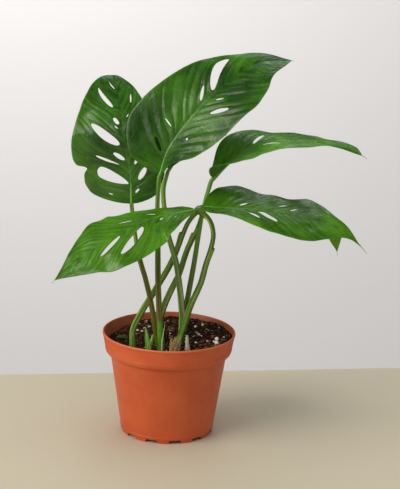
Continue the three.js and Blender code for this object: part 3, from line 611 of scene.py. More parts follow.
class Blade:
    """The surface of one leaf: where any point of it lies."""

    def __init__(self, leaf):
        self.leaf = leaf
        self.midrib = Route(leaf["midrib"])
        length = self.midrib.length
        self.holes = []
        for own in leaf["holes"]:
            first = max(1, round(own["inner"] * COLUMNS))
            last = min(COLUMNS - 1, max(first + 2, round(own["outer"] * COLUMNS)))
            first = min(first, last - 2)
            half = own["width"] / 2 / length
            # how far along the leaf the side veins give way to the hole
            reach = max(2.2 * half, 1.2 * abs(own["lean"]), 0.03)
            self.holes.append({**own, "half": half, "reach": reach, "first": first, "last": last})
        self.marks = {side: self.vein_marks(side) for side in ("left", "right")}

    def vein_marks(self, side):
        """Places of a half's side veins: about evenly spaced between its holes, and none at a hole."""
        ends = [0, *sorted(own["vein"] for own in self.holes if own["side"] == side), 1]
        marks = []
        for low, high in zip(ends, ends[1:]):
            count = max(1, round((high - low) / VEIN_SPACING))
            for k in range(count):
                stray = 0.3 * noise.noise(Vector((1.9 * k, 7 * low, self.midrib.length)))
                marks.append(low + (high - low) * (k + 0.5 + stray) / count)
        return marks

    def vein_count(self, vein, side):
        """Which side vein a place lies at: a whole number on a vein, and halves between two of them."""
        marks = self.marks[side]
        if vein <= marks[0]:
            return vein / marks[0]
        if vein >= marks[-1]:
            return len(marks) + (vein - marks[-1]) / (1 - marks[-1])
        i = bisect_right(marks, vein) - 1
        return 1 + i + (vein - marks[i]) / (marks[i + 1] - marks[i])

    def frame(self, along, side):
        """The ways that the upper face looks and that this half runs out to, at a share of the length."""
        forward = self.midrib.heading(along)
        turn = math.radians(evenly([turn for turn, _ in self.leaf["face"]], along))
        tilt = math.radians(evenly([tilt for _, tilt in self.leaf["face"]], along))
        up = Vector((math.sin(turn) * math.cos(tilt), -math.cos(turn) * math.cos(tilt), math.sin(tilt)))
        up = (up - up.dot(forward) * forward).normalized()
        outward = up.cross(forward)
        return up, (outward if side == "left" else -outward)

    def place(self, along, across, side, raised=0):
        """A point across mm out from the midrib on the folded, drooping half, raised off its face."""
        up, outward = self.frame(along, side)
        start = math.radians(evenly(self.leaf["fold"][side], along))
        bend = math.radians(evenly(self.leaf["droop"][side], along)) / DROOP_WIDTH
        end = start - bend * across
        point = self.midrib.point(along)
        point = point + outward * (math.sin(start) - math.sin(end)) / bend
        point = point + up * (math.cos(end) - math.cos(start)) / bend
        return point + raised * (math.cos(end) * up - math.sin(end) * outward)

    def half_width(self, side, along):
        at, width = self.leaf[side]
        if along < at[0]:
            return width[0] * math.sqrt(max(0, along) / at[0])
        return max(0, smooth_value(at, width, along))

    def sweep(self, vein):
        """How far forward a side vein's outer end lies: most in the middle of the leaf."""
        return self.leaf["sweep"] * (1 - math.exp(-vein / 0.12)) * (1 - vein**2.5)

    def corner(self, vein, column, side, towards_tip):
        """Where a row and a column of the net meet, beside a hole if the row runs through one, and how far
        that is from the midrib, in mm."""
        share = column / COLUMNS
        shift = 0
        for own in self.holes:
            apart = vein - own["vein"]
            if own["side"] != side or abs(apart) > own["reach"]:
                continue
            inner, outer, widest, taper = (own[key] for key in ("inner", "outer", "widest", "taper"))
            if apart == 0:
                share = straight_value([0, own["first"], own["last"], COLUMNS], [0, inner, outer, 1], column)
            within = (share - inner) / (outer - inner)
            opening = 0
            if 0 < within < 1:
                opening = (within / widest) ** (taper * widest)
                opening *= ((1 - within) / (1 - widest)) ** (taper * (1 - widest))
            leaning = straight_value([0, inner, outer, 1], [0, -0.5, 0.5, 0], share) * own["lean"]
            way = towards_tip if apart == 0 else math.copysign(1, apart)
            shift += (way * opening * own["half"] + leaning) * (1 - abs(apart) / own["reach"])
        along = min(1, max(0, vein + shift + self.sweep(vein) * share))
        across = share * self.half_width(side, along)
        return self.place(along, across, side, self.relief(vein, share, side, along, across)), across

    def relief(self, vein, share, side, along, across):
        """The blade bulges between its side veins, here more and there less, dips to the midrib, swells and
        waves a little towards its margin."""
        half, own = (20 if side == "left" else 0), self.midrib.length
        count = self.vein_count(vein, side)
        fullness = max(0, 0.5 + 1.1 * noise.noise(Vector((0.8 * count + half, 2 * share, own))))
        bulge = (abs(math.sin(math.pi * count)) ** 0.8 - 0.6) * self.leaf["quilt"] * fullness
        bulge *= eased(share, 0, 0.25) * (1 - share**3) * eased(vein, 0, 0.06) * (1 - 0.8 * vein)
        groove = -RIB_GROOVE * bell(across, 0, 1.2) * eased(along, 0.1, self.leaf["rib_end"])
        swell = SWELLING * noise.noise(Vector((11 * along + half, 3 * share, own))) * eased(share, 0, 0.4)
        wave = WAVE * noise.noise(Vector((9 * along + half / 10, 1.7 * share, own))) * share**2
        return bulge + groove + (swell + wave) * math.sin(math.pi * along)

    def rows(self):
        """Rows of the net from base to tip, closer together at the round base, one exactly at each hole."""
        at_holes = sorted({own["vein"] for own in self.holes})
        veins = list(at_holes)
        for step in [0.5, *range(ROWS + 1)]:
            vein = (step / ROWS) ** 1.35
            near_hole = any(abs(other - vein) < 0.3 / ROWS for other in at_holes)
            if vein < 0.03 or vein == 1 or not near_hole:
                veins.append(vein)
        return sorted(veins)


def make_blade(name, leaf, materials):
    """A sheet cut along its holes, drawn to the leaf's shape, then given its thickness."""
    blade = Blade(leaf)
    rows = blade.rows()
    last_row = len(rows) - 1
    bpy.ops.mesh.primitive_grid_add(x_subdivisions=2 * COLUMNS, y_subdivisions=last_row, size=2)
    sheet = named(name)

    def net_place(co):
        """The row and the column of a point of the flat sheet, and its side."""
        return (co.y + 1) / 2 * last_row, abs(co.x) * COLUMNS, "left" if co.x < 0 else "right"

    def on_seam(edge):
        (row, _, _), (other_row, _, _) = (net_place(vertex.co) for vertex in edge.verts)
        if round(row) != round(other_row):
            return False
        row, column, side = net_place((edge.verts[0].co + edge.verts[1].co) / 2)
        return any(
            own["side"] == side and rows[round(row)] == own["vein"] and own["first"] < column < own["last"]
            for own in blade.holes
        )

    with editing(sheet, on_seam):
        bpy.ops.mesh.edge_split(type="EDGE")
    mesh = sheet.data
    # which way each corner of the sheet lies from its own faces: 0 but where the sheet was cut
    pull = [0.0] * len(mesh.vertices)
    for face in mesh.polygons:
        for index in face.vertices:
            pull[index] += face.center.y - mesh.vertices[index].co.y
    grid = [net_place(vertex.co) for vertex in mesh.vertices]
    corners = []
    for pulled, (row, column, side) in zip(pull, grid):
        inside = 0 < round(row) < last_row
        towards_tip = math.copysign(1, pulled) if abs(pulled) > 1e-4 and inside else 0
        corners.append(blade.corner(rows[round(row)], column if inside else 0, side, towards_tip))
    net = mesh.uv_layers.new(name="net")
    span = mesh.uv_layers.new(name="span")
    for face in mesh.polygons:
        side = "left" if face.center.x < 0 else "right"
        for loop in face.loop_indices:
            index = mesh.loops[loop].vertex_index
            row, column, _ = grid[index]
            vein = rows[round(row)]
            net.data[loop].uv = (column / COLUMNS, blade.vein_count(vein, side))
            span.data[loop].uv = (corners[index][1], vein / leaf["rib_end"])
    for vertex, (point, _) in zip(mesh.vertices, corners):
        vertex.co = point * MM
    with editing(sheet):
        bpy.ops.mesh.remove_doubles(threshold=0.02 * MM)
    for material in materials:
        mesh.materials.append(material)
    modify(
        sheet, "SOLIDIFY", thickness=BLADE_THICKNESS * MM, offset=0, material_offset=1,
        use_even_offset=False,
    )
    modify(sheet, "SUBSURF", levels=1, render_levels=1)
    return sheet, blade


def make_midrib(name, blade, stalk_radius, materials):
    """The pale rib under the blade, which shows on its upper face near the stalk, and the dry thread that
    the leaf's tip ends in."""
    rib_end = blade.leaf["rib_end"]

    def radius(share, turn):
        return straight_value([0, 0.07, 0.3, 0.93, 1], [stalk_radius, 1.3, 0.85, 0.35, 0.12], share)

    # how far the rib's top stands proud of the blade: it sinks below its upper face at rib_end
    heights = [(1 - STALK_SINKS) * stalk_radius, 0.45, -0.6, -0.65]
    sunk = []
    for step in range(31):
        share = step / 30
        up, _ = blade.frame(share, "left")
        proud = straight_value([0, 0.1, rib_end, 1], heights, share)
        sunk.append(blade.midrib.point(share) + (proud - radius(share, 0)) * up)
    sunk.append(sunk[-1] + blade.leaf["thread"] * (blade.midrib.heading(1) + Vector((0, 0, -0.3))))
    rib = bent_tube(
        name, Route(sunk, 6), lambda share: blade.frame(share, "left")[0], radius, sides=10, rings=80
    )
    for material in materials:
        rib.data.materials.append(material)
    unbent = rib.data.attributes["unbent"].data
    for face in rib.data.polygons:
        face.material_index = int(unbent[face.vertices[0]].vector.z > blade.midrib.length)
    return rib


SHEATH_EDGE = 50  # degrees from the middle of the groove to each edge of the sheath
EDGE_HEIGHT = 0.55  # how far those edges stand out, as a share of the stalk's radius
EAR_HEIGHT = 0.9  # how much further they do at the ear, as a share of that
GROOVE_DEPTH = 0.12  # as a share of the stalk's radius
FOOT_SWELLING = 0.2  # how much thicker the stalk is at the soil, as a share of its radius
KNOT_PLACE = 0.965  # the middle of the swelling below the blade, as a share of the stalk's length


def make_stalk(name, leaf, blade, material):
    """A round stalk, thicker at the soil, with a shallow groove between the two edges of its sheath, which
    end in an ear, and a swelling below the blade."""
    foot, top = leaf["radius"]
    forward, (up, _) = blade.midrib.heading(0.004), blade.frame(0, "left")
    base = blade.midrib.point(0) - STALK_SINKS * top * up
    route = Route([*leaf["stalk"], base - STRAIGHT_END * forward, base + 0.3 * forward], taut=True)
    turn = math.radians(leaf["wing"])
    facing = Vector((math.sin(turn), -math.cos(turn), 0.05))
    ear, soil = route.share_at_height(leaf["ear"]), route.share_at_height(SOIL_SURFACE + 1)

    def sheath(share):
        """How far the sheath's edges stand out, as a share of the stalk's radius."""
        if share > ear:
            return 0.0
        widening = 1 + EAR_HEIGHT * eased(share, ear - 0.08, ear)
        return EDGE_HEIGHT * widening * eased(share, soil, soil + 0.12)

    def edge(turn_here):
        """1 on the two edges of the sheath and 0 away from them."""
        return bell(turn_here, -SHEATH_EDGE, 12) + bell(turn_here, SHEATH_EDGE, 12)

    def radius(share, turn_here):
        body = foot + (top - foot) * share
        knot = leaf.get("knot", SLIGHT_KNOT) * bell(share, KNOT_PLACE, 1 - KNOT_PLACE)
        body *= 1 + knot + FOOT_SWELLING * (1 - eased(share, soil, soil + 0.07))
        return body * (1 + sheath(share) * edge(turn_here) - GROOVE_DEPTH * bell(turn_here, 0, 30))

    stalk = bent_tube(name, route, lambda share: facing, radius, sides=40, rings=130)
    wing = stalk.data.attributes.new("wing", "FLOAT", "POINT")
    for straight, value in zip(stalk.data.attributes["unbent"].data, wing.data):
        x, y, height = straight.vector
        share = height / route.length
        # paler on the sheath's edges and, less, in the middle of its groove: partly the sheath's own colour,
        # partly painted highlight lines
        pale = (0.5 + 0.5 * eased(share, ear - 0.15, ear)) * (sheath(share) > 0.1)
        turn_here = math.degrees(math.atan2(y, x))
        value.value = min(1, (edge(turn_here) + 0.4 * bell(turn_here, 0, 35)) * pale)
    stalk.data.materials.append(material)
    return stalk


# ---------------------------------------------------------------- the foot of the clump


def make_sheath(name, points, toward, width, arc, torn, material, closing=0.85, narrowing=0.4):
    """A papery sheath: a sheet rolled about a route over an arc (degrees), up to a torn top. There its roll
    has closed, and its arc narrowed, by these shares."""
    route = Route(points)
    bpy.ops.mesh.primitive_grid_add(x_subdivisions=10, y_subdivisions=24, size=2)
    sheath = named(name)
    for vertex in sheath.data.vertices:
        roll, share = vertex.co.x, (vertex.co.y + 1) / 2
        ragged = share * (1 - torn * (0.5 + noise.noise(Vector((4 * roll, 0, points[0][0])))))
        heading = route.heading(ragged)
        first = Vector(toward)
        first = (first - first.dot(heading) * heading).normalized()
        turn = math.radians(arc / 2 * roll * (1 - narrowing * share))
        out = width / 2 * (1 - closing * share**2) * (1 + 0.15 * noise.noise(Vector((roll, 5 * share, 3))))
        away = out * (math.cos(turn) * first + math.sin(turn) * heading.cross(first))
        vertex.co = (route.point(ragged) + away) * MM
    modify(sheath, "SOLIDIFY", thickness=0.35 * MM, offset=0)
    modify(sheath, "SUBSURF", levels=1, render_levels=1)
    sheath.data.materials.append(material)
    return sheath


def make_fibres(name, points, spread, count, material):
    """Frayed fibres of a rotted sheath, standing round a route."""
    rng = random.Random(3)

    def radius(share, turn):
        return 0.32 - 0.22 * share

    fibres = []
    for i in range(count):
        route = []
        lean = [rng.uniform(-spread, spread) for _ in range(2)]
        length = rng.uniform(0.6, 1)
        for k, (x, y, z) in enumerate(points):
            away = 0.35 + 0.3 * k
            height = points[0][2] + (z - points[0][2]) * length
            route.append((x + away * lean[0] + rng.uniform(-0.3, 0.3), y + away * lean[1], height))
        fibre = bent_tube(f"{name}_{i}", Route(route, 8), lambda share: (1, 0, 0), radius, sides=5, rings=8)
        fibres.append(fibre)
    bundle = joined(*fibres)
    bundle.data.materials.append(material)
    return bundle


def make_clump_foot(fresh, husk, pale_husk, fibre):
    """The new shoot with its side leaf, the frayed tuft, and the dry and the fresh sheaths."""

    def bud(share, turn):
        ridge = 1 + 0.3 * bell(turn, 60, 20)
        return straight_value([0, 0.5, 0.75, 0.93, 1], [2.9, 2.7, 2.1, 1.0, 0.2], share) * ridge

    def leaflet(share, turn):
        flat = 1 - 0.55 * abs(math.cos(math.radians(turn)))
        return straight_value([0, 0.4, 0.8, 1], [1.6, 2, 1, 0.15], share) * flat

    shoot = bent_tube("shoot", Route(SHOOT), lambda share: (1, -0.4, 0), bud, sides=24, rings=50)
    side_leaf = bent_tube("shoot_leaf", Route(SHOOT_LEAF), lambda share: (0.2, -1, 0), leaflet, rings=24)
    shoot = joined(shoot, side_leaf)
    finished(shoot, [fresh], ["new_shoot"])
    tuft = make_fibres("dry_tuft", HUSKS["left"], spread=4.4, count=60, material=fibre)
    shell = make_sheath("dry_shell", HUSKS["left"], (0.3, 1, 0), width=5, arc=200, torn=0.3, material=husk)
    finished(joined(tuft, shell), replaces=["dry_sheath_left"])
    right = make_sheath(
        "dry_husk_right", HUSKS["right"], (0.3, -1, 0), width=5.4, arc=200, torn=0.15, material=pale_husk,
        closing=0.6,
    )
    finished(right, replaces=["dry_sheath_right"])
    stipule = make_sheath("stipule", STIPULE, (0, -1, 0), width=1.3, arc=160, torn=0.1, material=pale_husk)
    finished(stipule)
    sheath = make_sheath(
        "fresh_sheath", FRESH_SHEATH, (0.3, -1, 0), width=6.6, arc=250, torn=0.15, material=fresh,
        closing=0.2, narrowing=0.7,
    )
    finished(sheath)


# ---------------------------------------------------------------- pot

COLLAR_BOTTOM = POT["height"] - POT["collar_height"]


def inner_wall():
    """The inside of the pot from its lip down to its floor, as (radius, height)."""
    return [
        (POT["rim_radius"] - POT["lip_wall"], POT["height"] - 1),
        (POT["collar_radius"] - POT["wall"], COLLAR_BOTTOM),
        (POT["neck_radius"] - POT["wall"], POT["neck_height"]),
        (POT["foot_radius"] - POT["wall"] + 0.6, POT["floor_top"]),
    ]


def inner_radius(height):
    wall = inner_wall()[::-1]
    return straight_value([z for _, z in wall], [radius for radius, _ in wall], height)


def make_pot(outside, inside):
    """The turned pot, cut by its foot notches and drain holes, and dusty and darker on the inside, the darker
    colour being painted shade.
    """
    rim, top, foot = POT["rim_radius"], POT["height"], POT["foot_radius"]
    collar, neck, neck_height = POT["collar_radius"], POT["neck_radius"], POT["neck_height"]
    slope = (neck - foot) / neck_height
    flare = (rim - 0.5 - collar) / (POT["collar_height"] - 2.6)
    half_wide, half_high = 0.7, 1.2  # of the lip's rounded outer side
    lip = []
    for turn in (160, 130, 100, 70, 40, 10):
        out, up = math.sin(math.radians(turn)), math.cos(math.radians(turn))
        lip.append((rim - half_wide + half_wide * out, top - half_high + half_high * up))
    # a fine raised line above the foot and a flat bead round the collar's lower edge: (from, to, how proud)
    foot_line, bead = (4, 5.4, 0.3), (0.9, 3.4, 0.3)
    outline = [
        (0, 0), (POT["pad_radius"], 0), (POT["pad_radius"] + 0.3, POT["floor_underside"]),
        (foot - POT["foot_wall"] - 0.3, POT["floor_underside"]), (foot - POT["foot_wall"], 0),
        (foot - 0.35, 0), (foot, 0.35), (foot + foot_line[0] * slope, foot_line[0]),
        (foot + foot_line[0] * slope + foot_line[2], foot_line[0] + 0.4),
        (foot + foot_line[1] * slope + foot_line[2], foot_line[1] - 0.4),
        (foot + foot_line[1] * slope, foot_line[1]),
        (neck - 0.9 * slope, neck_height - 0.9), (neck + 0.35, neck_height + 0.1),
        (neck + 1.7, neck_height + 0.9),
        (collar - 0.9, COLLAR_BOTTOM - 0.9), (collar - 0.1, COLLAR_BOTTOM),
        (collar + bead[2], COLLAR_BOTTOM + bead[0]),
        (collar + bead[2] + bead[1] * flare, COLLAR_BOTTOM + bead[1]),
        (collar + (bead[1] + 0.5) * flare, COLLAR_BOTTOM + bead[1] + 0.5),
        (rim - 0.55, top - 2.7), (rim - 0.5, top - 2.4), *lip, (rim - POT["lip_wall"] + 0.4, top),
        *inner_wall(), (0, POT["floor_top"]),
    ]
    pot = turned("nursery_pot", outline, steps=144)
    cutters = []
    width = 2 * foot * math.sin(math.radians(POT["notch_angle"] / 2))
    for i in range(POT["notches"]):
        turn = math.radians(POT["first_notch"] + i * 360 / POT["notches"])
        place = Vector((math.sin(turn), -math.cos(turn), 0)) * foot * MM
        bpy.ops.mesh.primitive_cube_add(size=1, location=place, rotation=(0, 0, turn))
        cutter = named(f"notch_{i}")
        cutter.scale = (width * MM, 8 * MM, 2 * POT["notch_height"] * MM)
        bpy.ops.object.transform_apply(location=False, rotation=False, scale=True)
        modify(cutter, "BEVEL", width=0.7 * MM, segments=3)
        cutters.append(cutter)
    for i in range(POT["drains"]):
        turn = math.radians(i * 360 / POT["drains"])
        place = Vector((math.cos(turn), math.sin(turn), 0)) * POT["drain_circle"] * MM
        bpy.ops.mesh.primitive_cylinder_add(
            vertices=24, radius=POT["drain_radius"] * MM, depth=14 * MM, location=place
        )
        cutters.append(named(f"drain_{i}"))
    cutter = joined(*cutters)
    modify(pot, "BOOLEAN", operation="DIFFERENCE", object=cutter, solver="EXACT")
    bpy.data.objects.remove(cutter)
    finished(pot, [outside, inside], ["pot"], sharp=35)
    for face in pot.data.polygons:
        inward = face.normal.x * face.center.x + face.normal.y * face.center.y < 0
        face.material_index = int(inward and face.center.z > (POT["floor_top"] - 1) * MM)


# ---------------------------------------------------------------- potting mix

SOIL_GAP = 0.3  # between the mix and the pot
# clods, crumbs and grit: how high and how wide they are in mm, and a number that keeps their noises apart
SOIL_ROUGHNESS = [(2.0, 14, 3), (1.3, 4.5, 7), (0.6, 1.7, 11)]


def soil_height(x, y):
    """Height of the potting mix at a place: its mound, with clods, crumbs and grit."""
    towards = SOIL_MOUND["towards"]
    reach = x * towards[0] + y * towards[1]
    mound = SOIL_MOUND["height"] * eased(reach, SOIL_MOUND["from"], SOIL_MOUND["to"])
    height = SOIL_SURFACE + mound
    for rise, width, own in SOIL_ROUGHNESS:
        height += rise * noise.noise(Vector((x / width, y / width, own)))
    return height


def make_soil(material):
    """The mix turned to the inside of the pot, and its top raised into a mound with clods and crumbs."""
    edge = inner_radius(SOIL_SURFACE) - SOIL_GAP
    bottom = POT["floor_top"] + SOIL_GAP
    rings = 80
    top = [(edge * (1 - (k / rings)), SOIL_SURFACE) for k in range(rings + 1)]
    outline = [
        (0, bottom), (inner_radius(bottom) - SOIL_GAP, bottom),
        (inner_radius(POT["neck_height"]) - SOIL_GAP, POT["neck_height"] + SOIL_GAP),
        (inner_radius(COLLAR_BOTTOM) - SOIL_GAP, COLLAR_BOTTOM + SOIL_GAP), *top,
    ]
    soil = turned("potting_mix", outline, steps=200)
    for vertex in soil.data.vertices:
        x, y, z = vertex.co / MM
        if z > SOIL_SURFACE - 0.5:
            height = soil_height(x, y)
            wider = (inner_radius(height) - SOIL_GAP) / edge
            vertex.co = Vector((x * wider, y * wider, height)) * MM
    finished(soil, [material], ["soil"], sharp=180)


def scattered(name, rng, grains, fineness, jitter, pale):
    """Rough grains in one mesh. A grain is its place, its three half sizes in mm and the way that it lies, in
    degrees; a share of them are pale."""
    bpy.ops.mesh.primitive_ico_sphere_add(subdivisions=fineness, radius=1)
    model = bpy.context.object
    corners = [vertex.co.copy() for vertex in model.data.vertices]
    faces = [tuple(face.vertices) for face in model.data.polygons]
    all_corners, all_faces, shades = [], [], []
    for place, half_sizes, lie in grains:
        start = len(all_corners)
        turn = Matrix.Rotation(math.radians(lie), 3, "Z") @ Matrix.Rotation(rng.uniform(-0.6, 0.6), 3, "X")
        shade = rng.uniform(0.5, 1) if rng.random() < pale else rng.uniform(0, 0.25)
        for corner in corners:
            rough = corner * rng.uniform(1 - jitter, 1 + jitter)
            rough = Vector(part * half for part, half in zip(rough, half_sizes))
            all_corners.append((Vector(place) + turn @ rough) * MM)
            shades.append(shade)
        all_faces += [tuple(start + index for index in face) for face in faces]
    bpy.data.objects.remove(model)
    mesh = bpy.data.meshes.new(name)
    mesh.from_pydata(all_corners, [], all_faces)
    mesh.attributes.new("shade", "FLOAT", "POINT").data.foreach_set("value", shades)
    piece = bpy.data.objects.new(name, mesh)
    bpy.context.collection.objects.link(piece)
    return piece


def on_soil(x, y, lift=0.0):
    """The place on the mix at x and y, lifted by some mm."""
    return (x, y, soil_height(x, y) + lift)


STREWN_RADIUS = 54.5  # loose grains lie out to here


def strewn(rng, count, sizes, lift, flatness):
    """Grains strewn over the whole surface of the mix, each lifted by a share of its half size."""
    grains = []
    for _ in range(count):
        radius, turn = STREWN_RADIUS * math.sqrt(rng.random()), rng.uniform(0, 2 * math.pi)
        size = rng.choice(sizes)
        half_sizes = (size, size * rng.uniform(0.45, 0.9), size * flatness * rng.uniform(0.8, 1.2))
        place = on_soil(radius * math.cos(turn), radius * math.sin(turn), lift * size)
        grains.append((place, half_sizes, rng.uniform(0, 360)))
    return grains


# White grains as they lie in the picture: x, y and half size, in mm.
PERLITE = [
    (23.8, 29.4, 1.6), (30.3, 31.6, 1.5), (24.5, 33, 0.9), (27.1, 8.5, 1.4), (29.2, 6.6, 1.0),
    (24.6, -7.7, 1.5), (34.8, -6.4, 1.2), (43.4, -3.1, 2.4), (43.1, -11.6, 2.6), (41, -7, 1.5),
    (-29.4, 23.9, 1.4), (-25.2, 23.4, 1.3), (-19, 32.4, 1.4), (-23.4, 33.7, 1.2), (0.9, 15.6, 1.2),
    (49.6, 0.5, 1.0),
]
# Long slivers of bark: x, y, half length and the way that each lies, in degrees from +X.
BARK_SLIVERS = [(26.5, -18, 6, 48), (35, -19.5, 5.5, 55), (29, -23, 4, 40), (8, 2, 3, 10), (-20, 36, 3, 30)]
CURL = {"middle": (-42, 24), "radius": 2.6}  # a shaving of bark that lies curled up
FALLEN_LEAF = [(-45, 4, 82), (-42, 2, 83), (-38.5, 1, 82.6), (-35.5, 2, 81.5)]


def make_loose_bits(crumb, bark, perlite, leaf_skin):
    """What lies on the mix: crumbs, bark bits with a curled shaving, perlite and a small fallen leaf."""
    rng = random.Random(7)
    crumbs = strewn(rng, 3600, [0.35, 0.45, 0.6, 0.8, 1.1, 1.5], lift=0.3, flatness=0.7)
    litter = scattered("crumbs", rng, crumbs, fineness=1, jitter=0.25, pale=0.07)
    finished(litter, [crumb], sharp=30)
    pieces = strewn(rng, 120, [1.1, 1.6, 2.2, 2.8], lift=0.15, flatness=0.35)
    pieces += [(on_soil(x, y, 0.6), (length, 0.8, 0.5), lie) for x, y, length, lie in BARK_SLIVERS]
    bits = scattered("bark_bits", rng, pieces, fineness=2, jitter=0.14, pale=0.4)
    bits.data.materials.append(bark)
    x, y = CURL["middle"]
    ring = []
    for step in range(9):
        turn = math.radians(35 * step)
        reach = CURL["radius"] * (1 - 0.03 * step)
        ring.append(on_soil(x + reach * math.cos(turn), y + reach * math.sin(turn), 1.5 + 0.1 * step))
    curl = bent_tube(
        "bark_curl", Route(ring, 8), lambda share: (0, 0, 1), lambda share, turn: 0.5, sides=8, rings=40
    )
    curl.data.materials.append(bark)
    finished(joined(bits, curl), sharp=50)
    grains = [
        (on_soil(x, y, 0.5 * size), (size, size * 0.85, size * 0.75), 40 * size) for x, y, size in PERLITE
    ]
    grains += strewn(rng, 110, [0.3, 0.35, 0.45, 0.7], lift=0.4, flatness=0.7)
    white = scattered("perlite_grains", rng, grains, fineness=2, jitter=0.12, pale=0.6)
    finished(white, [perlite])
    scrap = make_sheath(
        "fallen_leaf_scrap", FALLEN_LEAF, (0, 0, 1), width=8, arc=120, torn=0.3, material=leaf_skin,
        closing=0.5,
    )
    finished(scrap)


# ---------------------------------------------------------------- floor, backdrop and light


def add_stage():
    """A plain pale table top that ends behind the pot, and a plain pale wall."""
    table_material, _, _ = new_material("matt_table_laminate", Base_Color="#c9bfa7", Roughness=0.6)
    wall_material, _, _ = new_material("matt_wall_paint", Base_Color="#e8e5e3", Roughness=0.9)
    # two points of the table's back edge
    left, right = Vector((-169, 132, 0)), Vector((233, 190, 0))
    edge = (right - left).normalized()
    inward = Vector((edge.y, -edge.x, 0))
    middle = (left + right) / 2
    bpy.ops.mesh.primitive_plane_add(size=1)
    table = named("table")
    width, depth = 6000, 4000
    corners = [
        middle + width / 2 * along * edge + inwards * inward for inwards in (0, depth) for along in (-1, 1)
    ]
    for vertex, corner in zip(table.data.vertices, corners):
        vertex.co = corner * MM
    table.data.materials.append(table_material)
    bpy.ops.mesh.primitive_plane_add(size=1, location=(0, 2.6, 0), rotation=(math.radians(90), 0, 0))
    wall = named("wall")
    wall.scale = (9, 7, 1)
    wall.data.materials.append(wall_material)
    wall.visible_glossy = False  # the glossy leaves don't mirror it


def add_light(name, place, target, size, power, colour="#ffffff"):
    """A square soft light, turned to a target; its places and the length of its sides are in metres."""
    bpy.ops.object.light_add(type="AREA", location=place)
    light = bpy.context.object
    light.name = name
    light.rotation_mode = "QUATERNION"
    light.rotation_quaternion = (Vector(target) - Vector(place)).to_track_quat("-Z", "Y")
    light.data.shape = "SQUARE"
    light.data.size = size
    light.data.energy = power
    light.data.color = linear(colour)[:3]
    return light


def add_lights():
    add_light("key_softbox", (-1.6, -1.2, 1.3), (0, 0, 0.15), size=1.45, power=32, colour="#fff8ee")
    add_light("side_softbox", (-1.7, -0.45, 1.55), (0, 0, 0.25), size=0.5, power=4.5, colour="#fff8ee")
    add_light("back_softbox", (0.12, 1.0, 1.35), (0.05, 0, 0.2), size=0.6, power=2.4)
    overhead = add_light("overhead_panel", (0.1, -0.1, 1.7), (0.05, 0, 0.2), size=1.2, power=7)
    overhead.visible_glossy = False  # it brightens the leaves but leaves no sheen on them
    add_light("wall_light", (-0.65, 1.5, 1.15), (-0.08, 2.6, 0.15), size=1, power=24)
    world = bpy.data.worlds.new("studio")
    bpy.context.scene.world = world
    world.use_nodes = True
    tree = world.node_tree
    background = tree.nodes["Background"]
    fill(background.inputs["Color"], "#eef0f2")
    # the room lights the plant from all sides, but looks dim in what shines
    glossy = node(tree, "ShaderNodeLightPath").outputs["Is Glossy Ray"]
    strength = node(tree, "ShaderNodeMapRange", {0: glossy, 3: 0.5, 4: 0.12})
    tree.links.new(strength.outputs[0], background.inputs["Strength"])
    bpy.context.scene.view_settings.view_transform = "Standard"


# ---------------------------------------------------------------- the whole plant


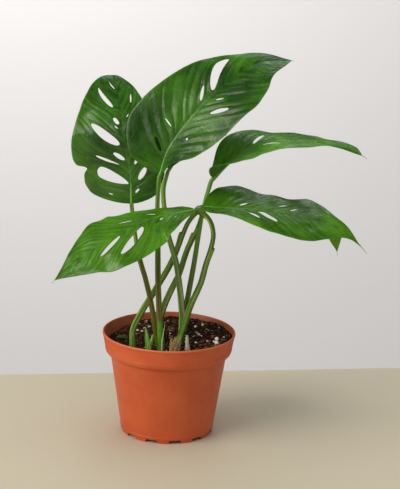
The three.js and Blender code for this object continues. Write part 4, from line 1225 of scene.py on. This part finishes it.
def build():
    """Camera first, then every piece with its finish, and the studio round them."""
    add_camera()
    bpy.ops.object.select_all(action="DESELECT")
    upper = make_leaf_skin(
        "waxy_leaf_upper_face", deep="#1b4405", fresh="#3d750a", groove="#143203", rib="#6a9e42",
        margin="#5c9018", roughness=0.3, gloss=0.52, bump=0.4,
    )
    # lighter, brighter green and yellower copies of the upper skin, for leaves d and e, c, and g
    lighter_upper = make_leaf_skin(
        "lighter_leaf_upper_face", deep="#2c5a06", fresh="#528c12", groove="#204604", rib="#6fa548",
        margin="#649824", roughness=0.3, gloss=0.5, bump=0.35,
    )
    brighter_upper = make_leaf_skin(
        "brighter_green_leaf_upper_face", deep="#346a08", fresh="#60a018", groove="#285404", rib="#7fb052",
        margin="#74a830", roughness=0.3, gloss=0.5, bump=0.35,
    )
    yellower_upper = make_leaf_skin(
        "yellower_leaf_upper_face", deep="#56880f", fresh="#729c20", groove="#3f6a0a", rib="#8fb052",
        margin="#7a9a24", roughness=0.36, gloss=0.35, bump=0.3,
    )
    lower = make_leaf_skin(
        "matt_leaf_lower_face", deep="#4c7c2c", fresh="#5f8f3c", groove="#6f9c50", rib="#9dbb72",
        margin="#6f9c50", roughness=0.55, gloss=0.2, bump=0.3,
    )
    rib = make_stalk_skin(
        "leaf_midrib", foot="#6fa548", top="#5f963a", streak="#8fb868", browned="#6f8a34", browning=-0.1,
        wing="#6fa548", low=0, high=60,
    )
    thread = make_matter(
        "dried_leaf_tip", dark="#6b4a2a", middle="#8a6a3c", light="#a58552", patch=1, roughness=0.8, bump=0.2
    )
    green = make_stalk_skin(
        "green_stalk_skin", foot="#4c8018", top="#4a6c12", streak="#acc46c", browned="#4e4414",
        browning=-0.03, wing="#8cb03a", low=30, high=75,
    )
    pale = make_stalk_skin(
        "pale_topped_stalk_skin", foot="#506c16", top="#6c9c38", streak="#c0d098", browned="#4e4414",
        browning=-0.1, wing="#9cbc5c", low=80, high=130,
    )
    brown = make_stalk_skin(
        "browned_stalk_skin", foot="#6c6820", top="#4c8424", streak="#aca44c", browned="#4a2812",
        browning=0.1, wing="#74903a", low=60, high=135,
    )
    # leaves and stalks that aren't named here have the upper skin and the green one
    skins = {"c": brighter_upper, "d": lighter_upper, "e": lighter_upper, "g": yellower_upper}
    stalk_skins = {"a": brown, "b": brown, "c": pale, "f": pale}
    for letter, leaf in LEAVES.items():
        sheet, blade = make_blade(f"blade_{letter}", leaf, [skins.get(letter, upper), lower])
        midrib = make_midrib(f"midrib_{letter}", blade, leaf["radius"][1], [rib, thread])
        finished(joined(sheet, midrib), replaces=[f"leaf_{letter}"])
        stalk = make_stalk(f"petiole_{letter}", leaf, blade, stalk_skins.get(letter, green))
        finished(stalk, replaces=[f"stalk_{letter}"])
    make_clump_foot(
        make_stalk_skin(
            "fresh_shoot_skin", foot="#5a9c28", top="#4c9022", streak="#b4d078", browned="#6b5a26",
            browning=-0.1, wing="#a8cf68", low=20, high=40,
        ),
        make_matter("papery_husk", "#b09a6c", "#d8cda4", "#e8e0c0", patch=2, roughness=0.7, bump=0.4),
        make_matter("half_dried_husk", "#b4b892", "#dedcc0", "#e8e0c0", patch=2, roughness=0.7, bump=0.4),
        make_matter("rotted_fibre", "#b48e60", "#e0c496", "#ecd8b0", patch=2, roughness=0.9, bump=0.5),
    )
    make_pot(
        make_pot_plastic(
            "moulded_polypropylene", deep="#c45125", pale="#d05f2f", dust="#a85030", dust_share=-0.2,
            lip="#d87c50",
        ),
        # the inside: a darker, duller copy of the plastic, painted shade inside the pot, with specks of peat
        # dust
        make_pot_plastic(
            "polypropylene_with_peat_dust_and_painted_shade", deep="#ab5631", pale="#b8643d", dust="#5c3826",
            dust_share=0.02, lip="#cd7046",
        ),
    )
    make_soil(make_matter("moist_peat", "#170a05", "#38190e", "#4a3323", patch=3, roughness=0.9, bump=0.8))
    make_loose_bits(
        make_matter("peat_crumbs", "#1e0d07", "#421f12", "#8a5e3e", patch=4, roughness=0.85, bump=0.6),
        make_matter("pine_bark", "#4a2a1a", "#7a5238", "#c09a70", patch=4, roughness=0.8, bump=0.5),
        make_matter("expanded_perlite", "#cfc6b4", "#e8e2d4", "#fbf8ee", patch=2, roughness=0.8, bump=0.4),
        make_matter("fallen_leaf_skin", "#26401a", "#34541f", "#4a6a2c", patch=3, roughness=0.5, bump=0.3),
    )
    add_stage()
    add_lights()


build()
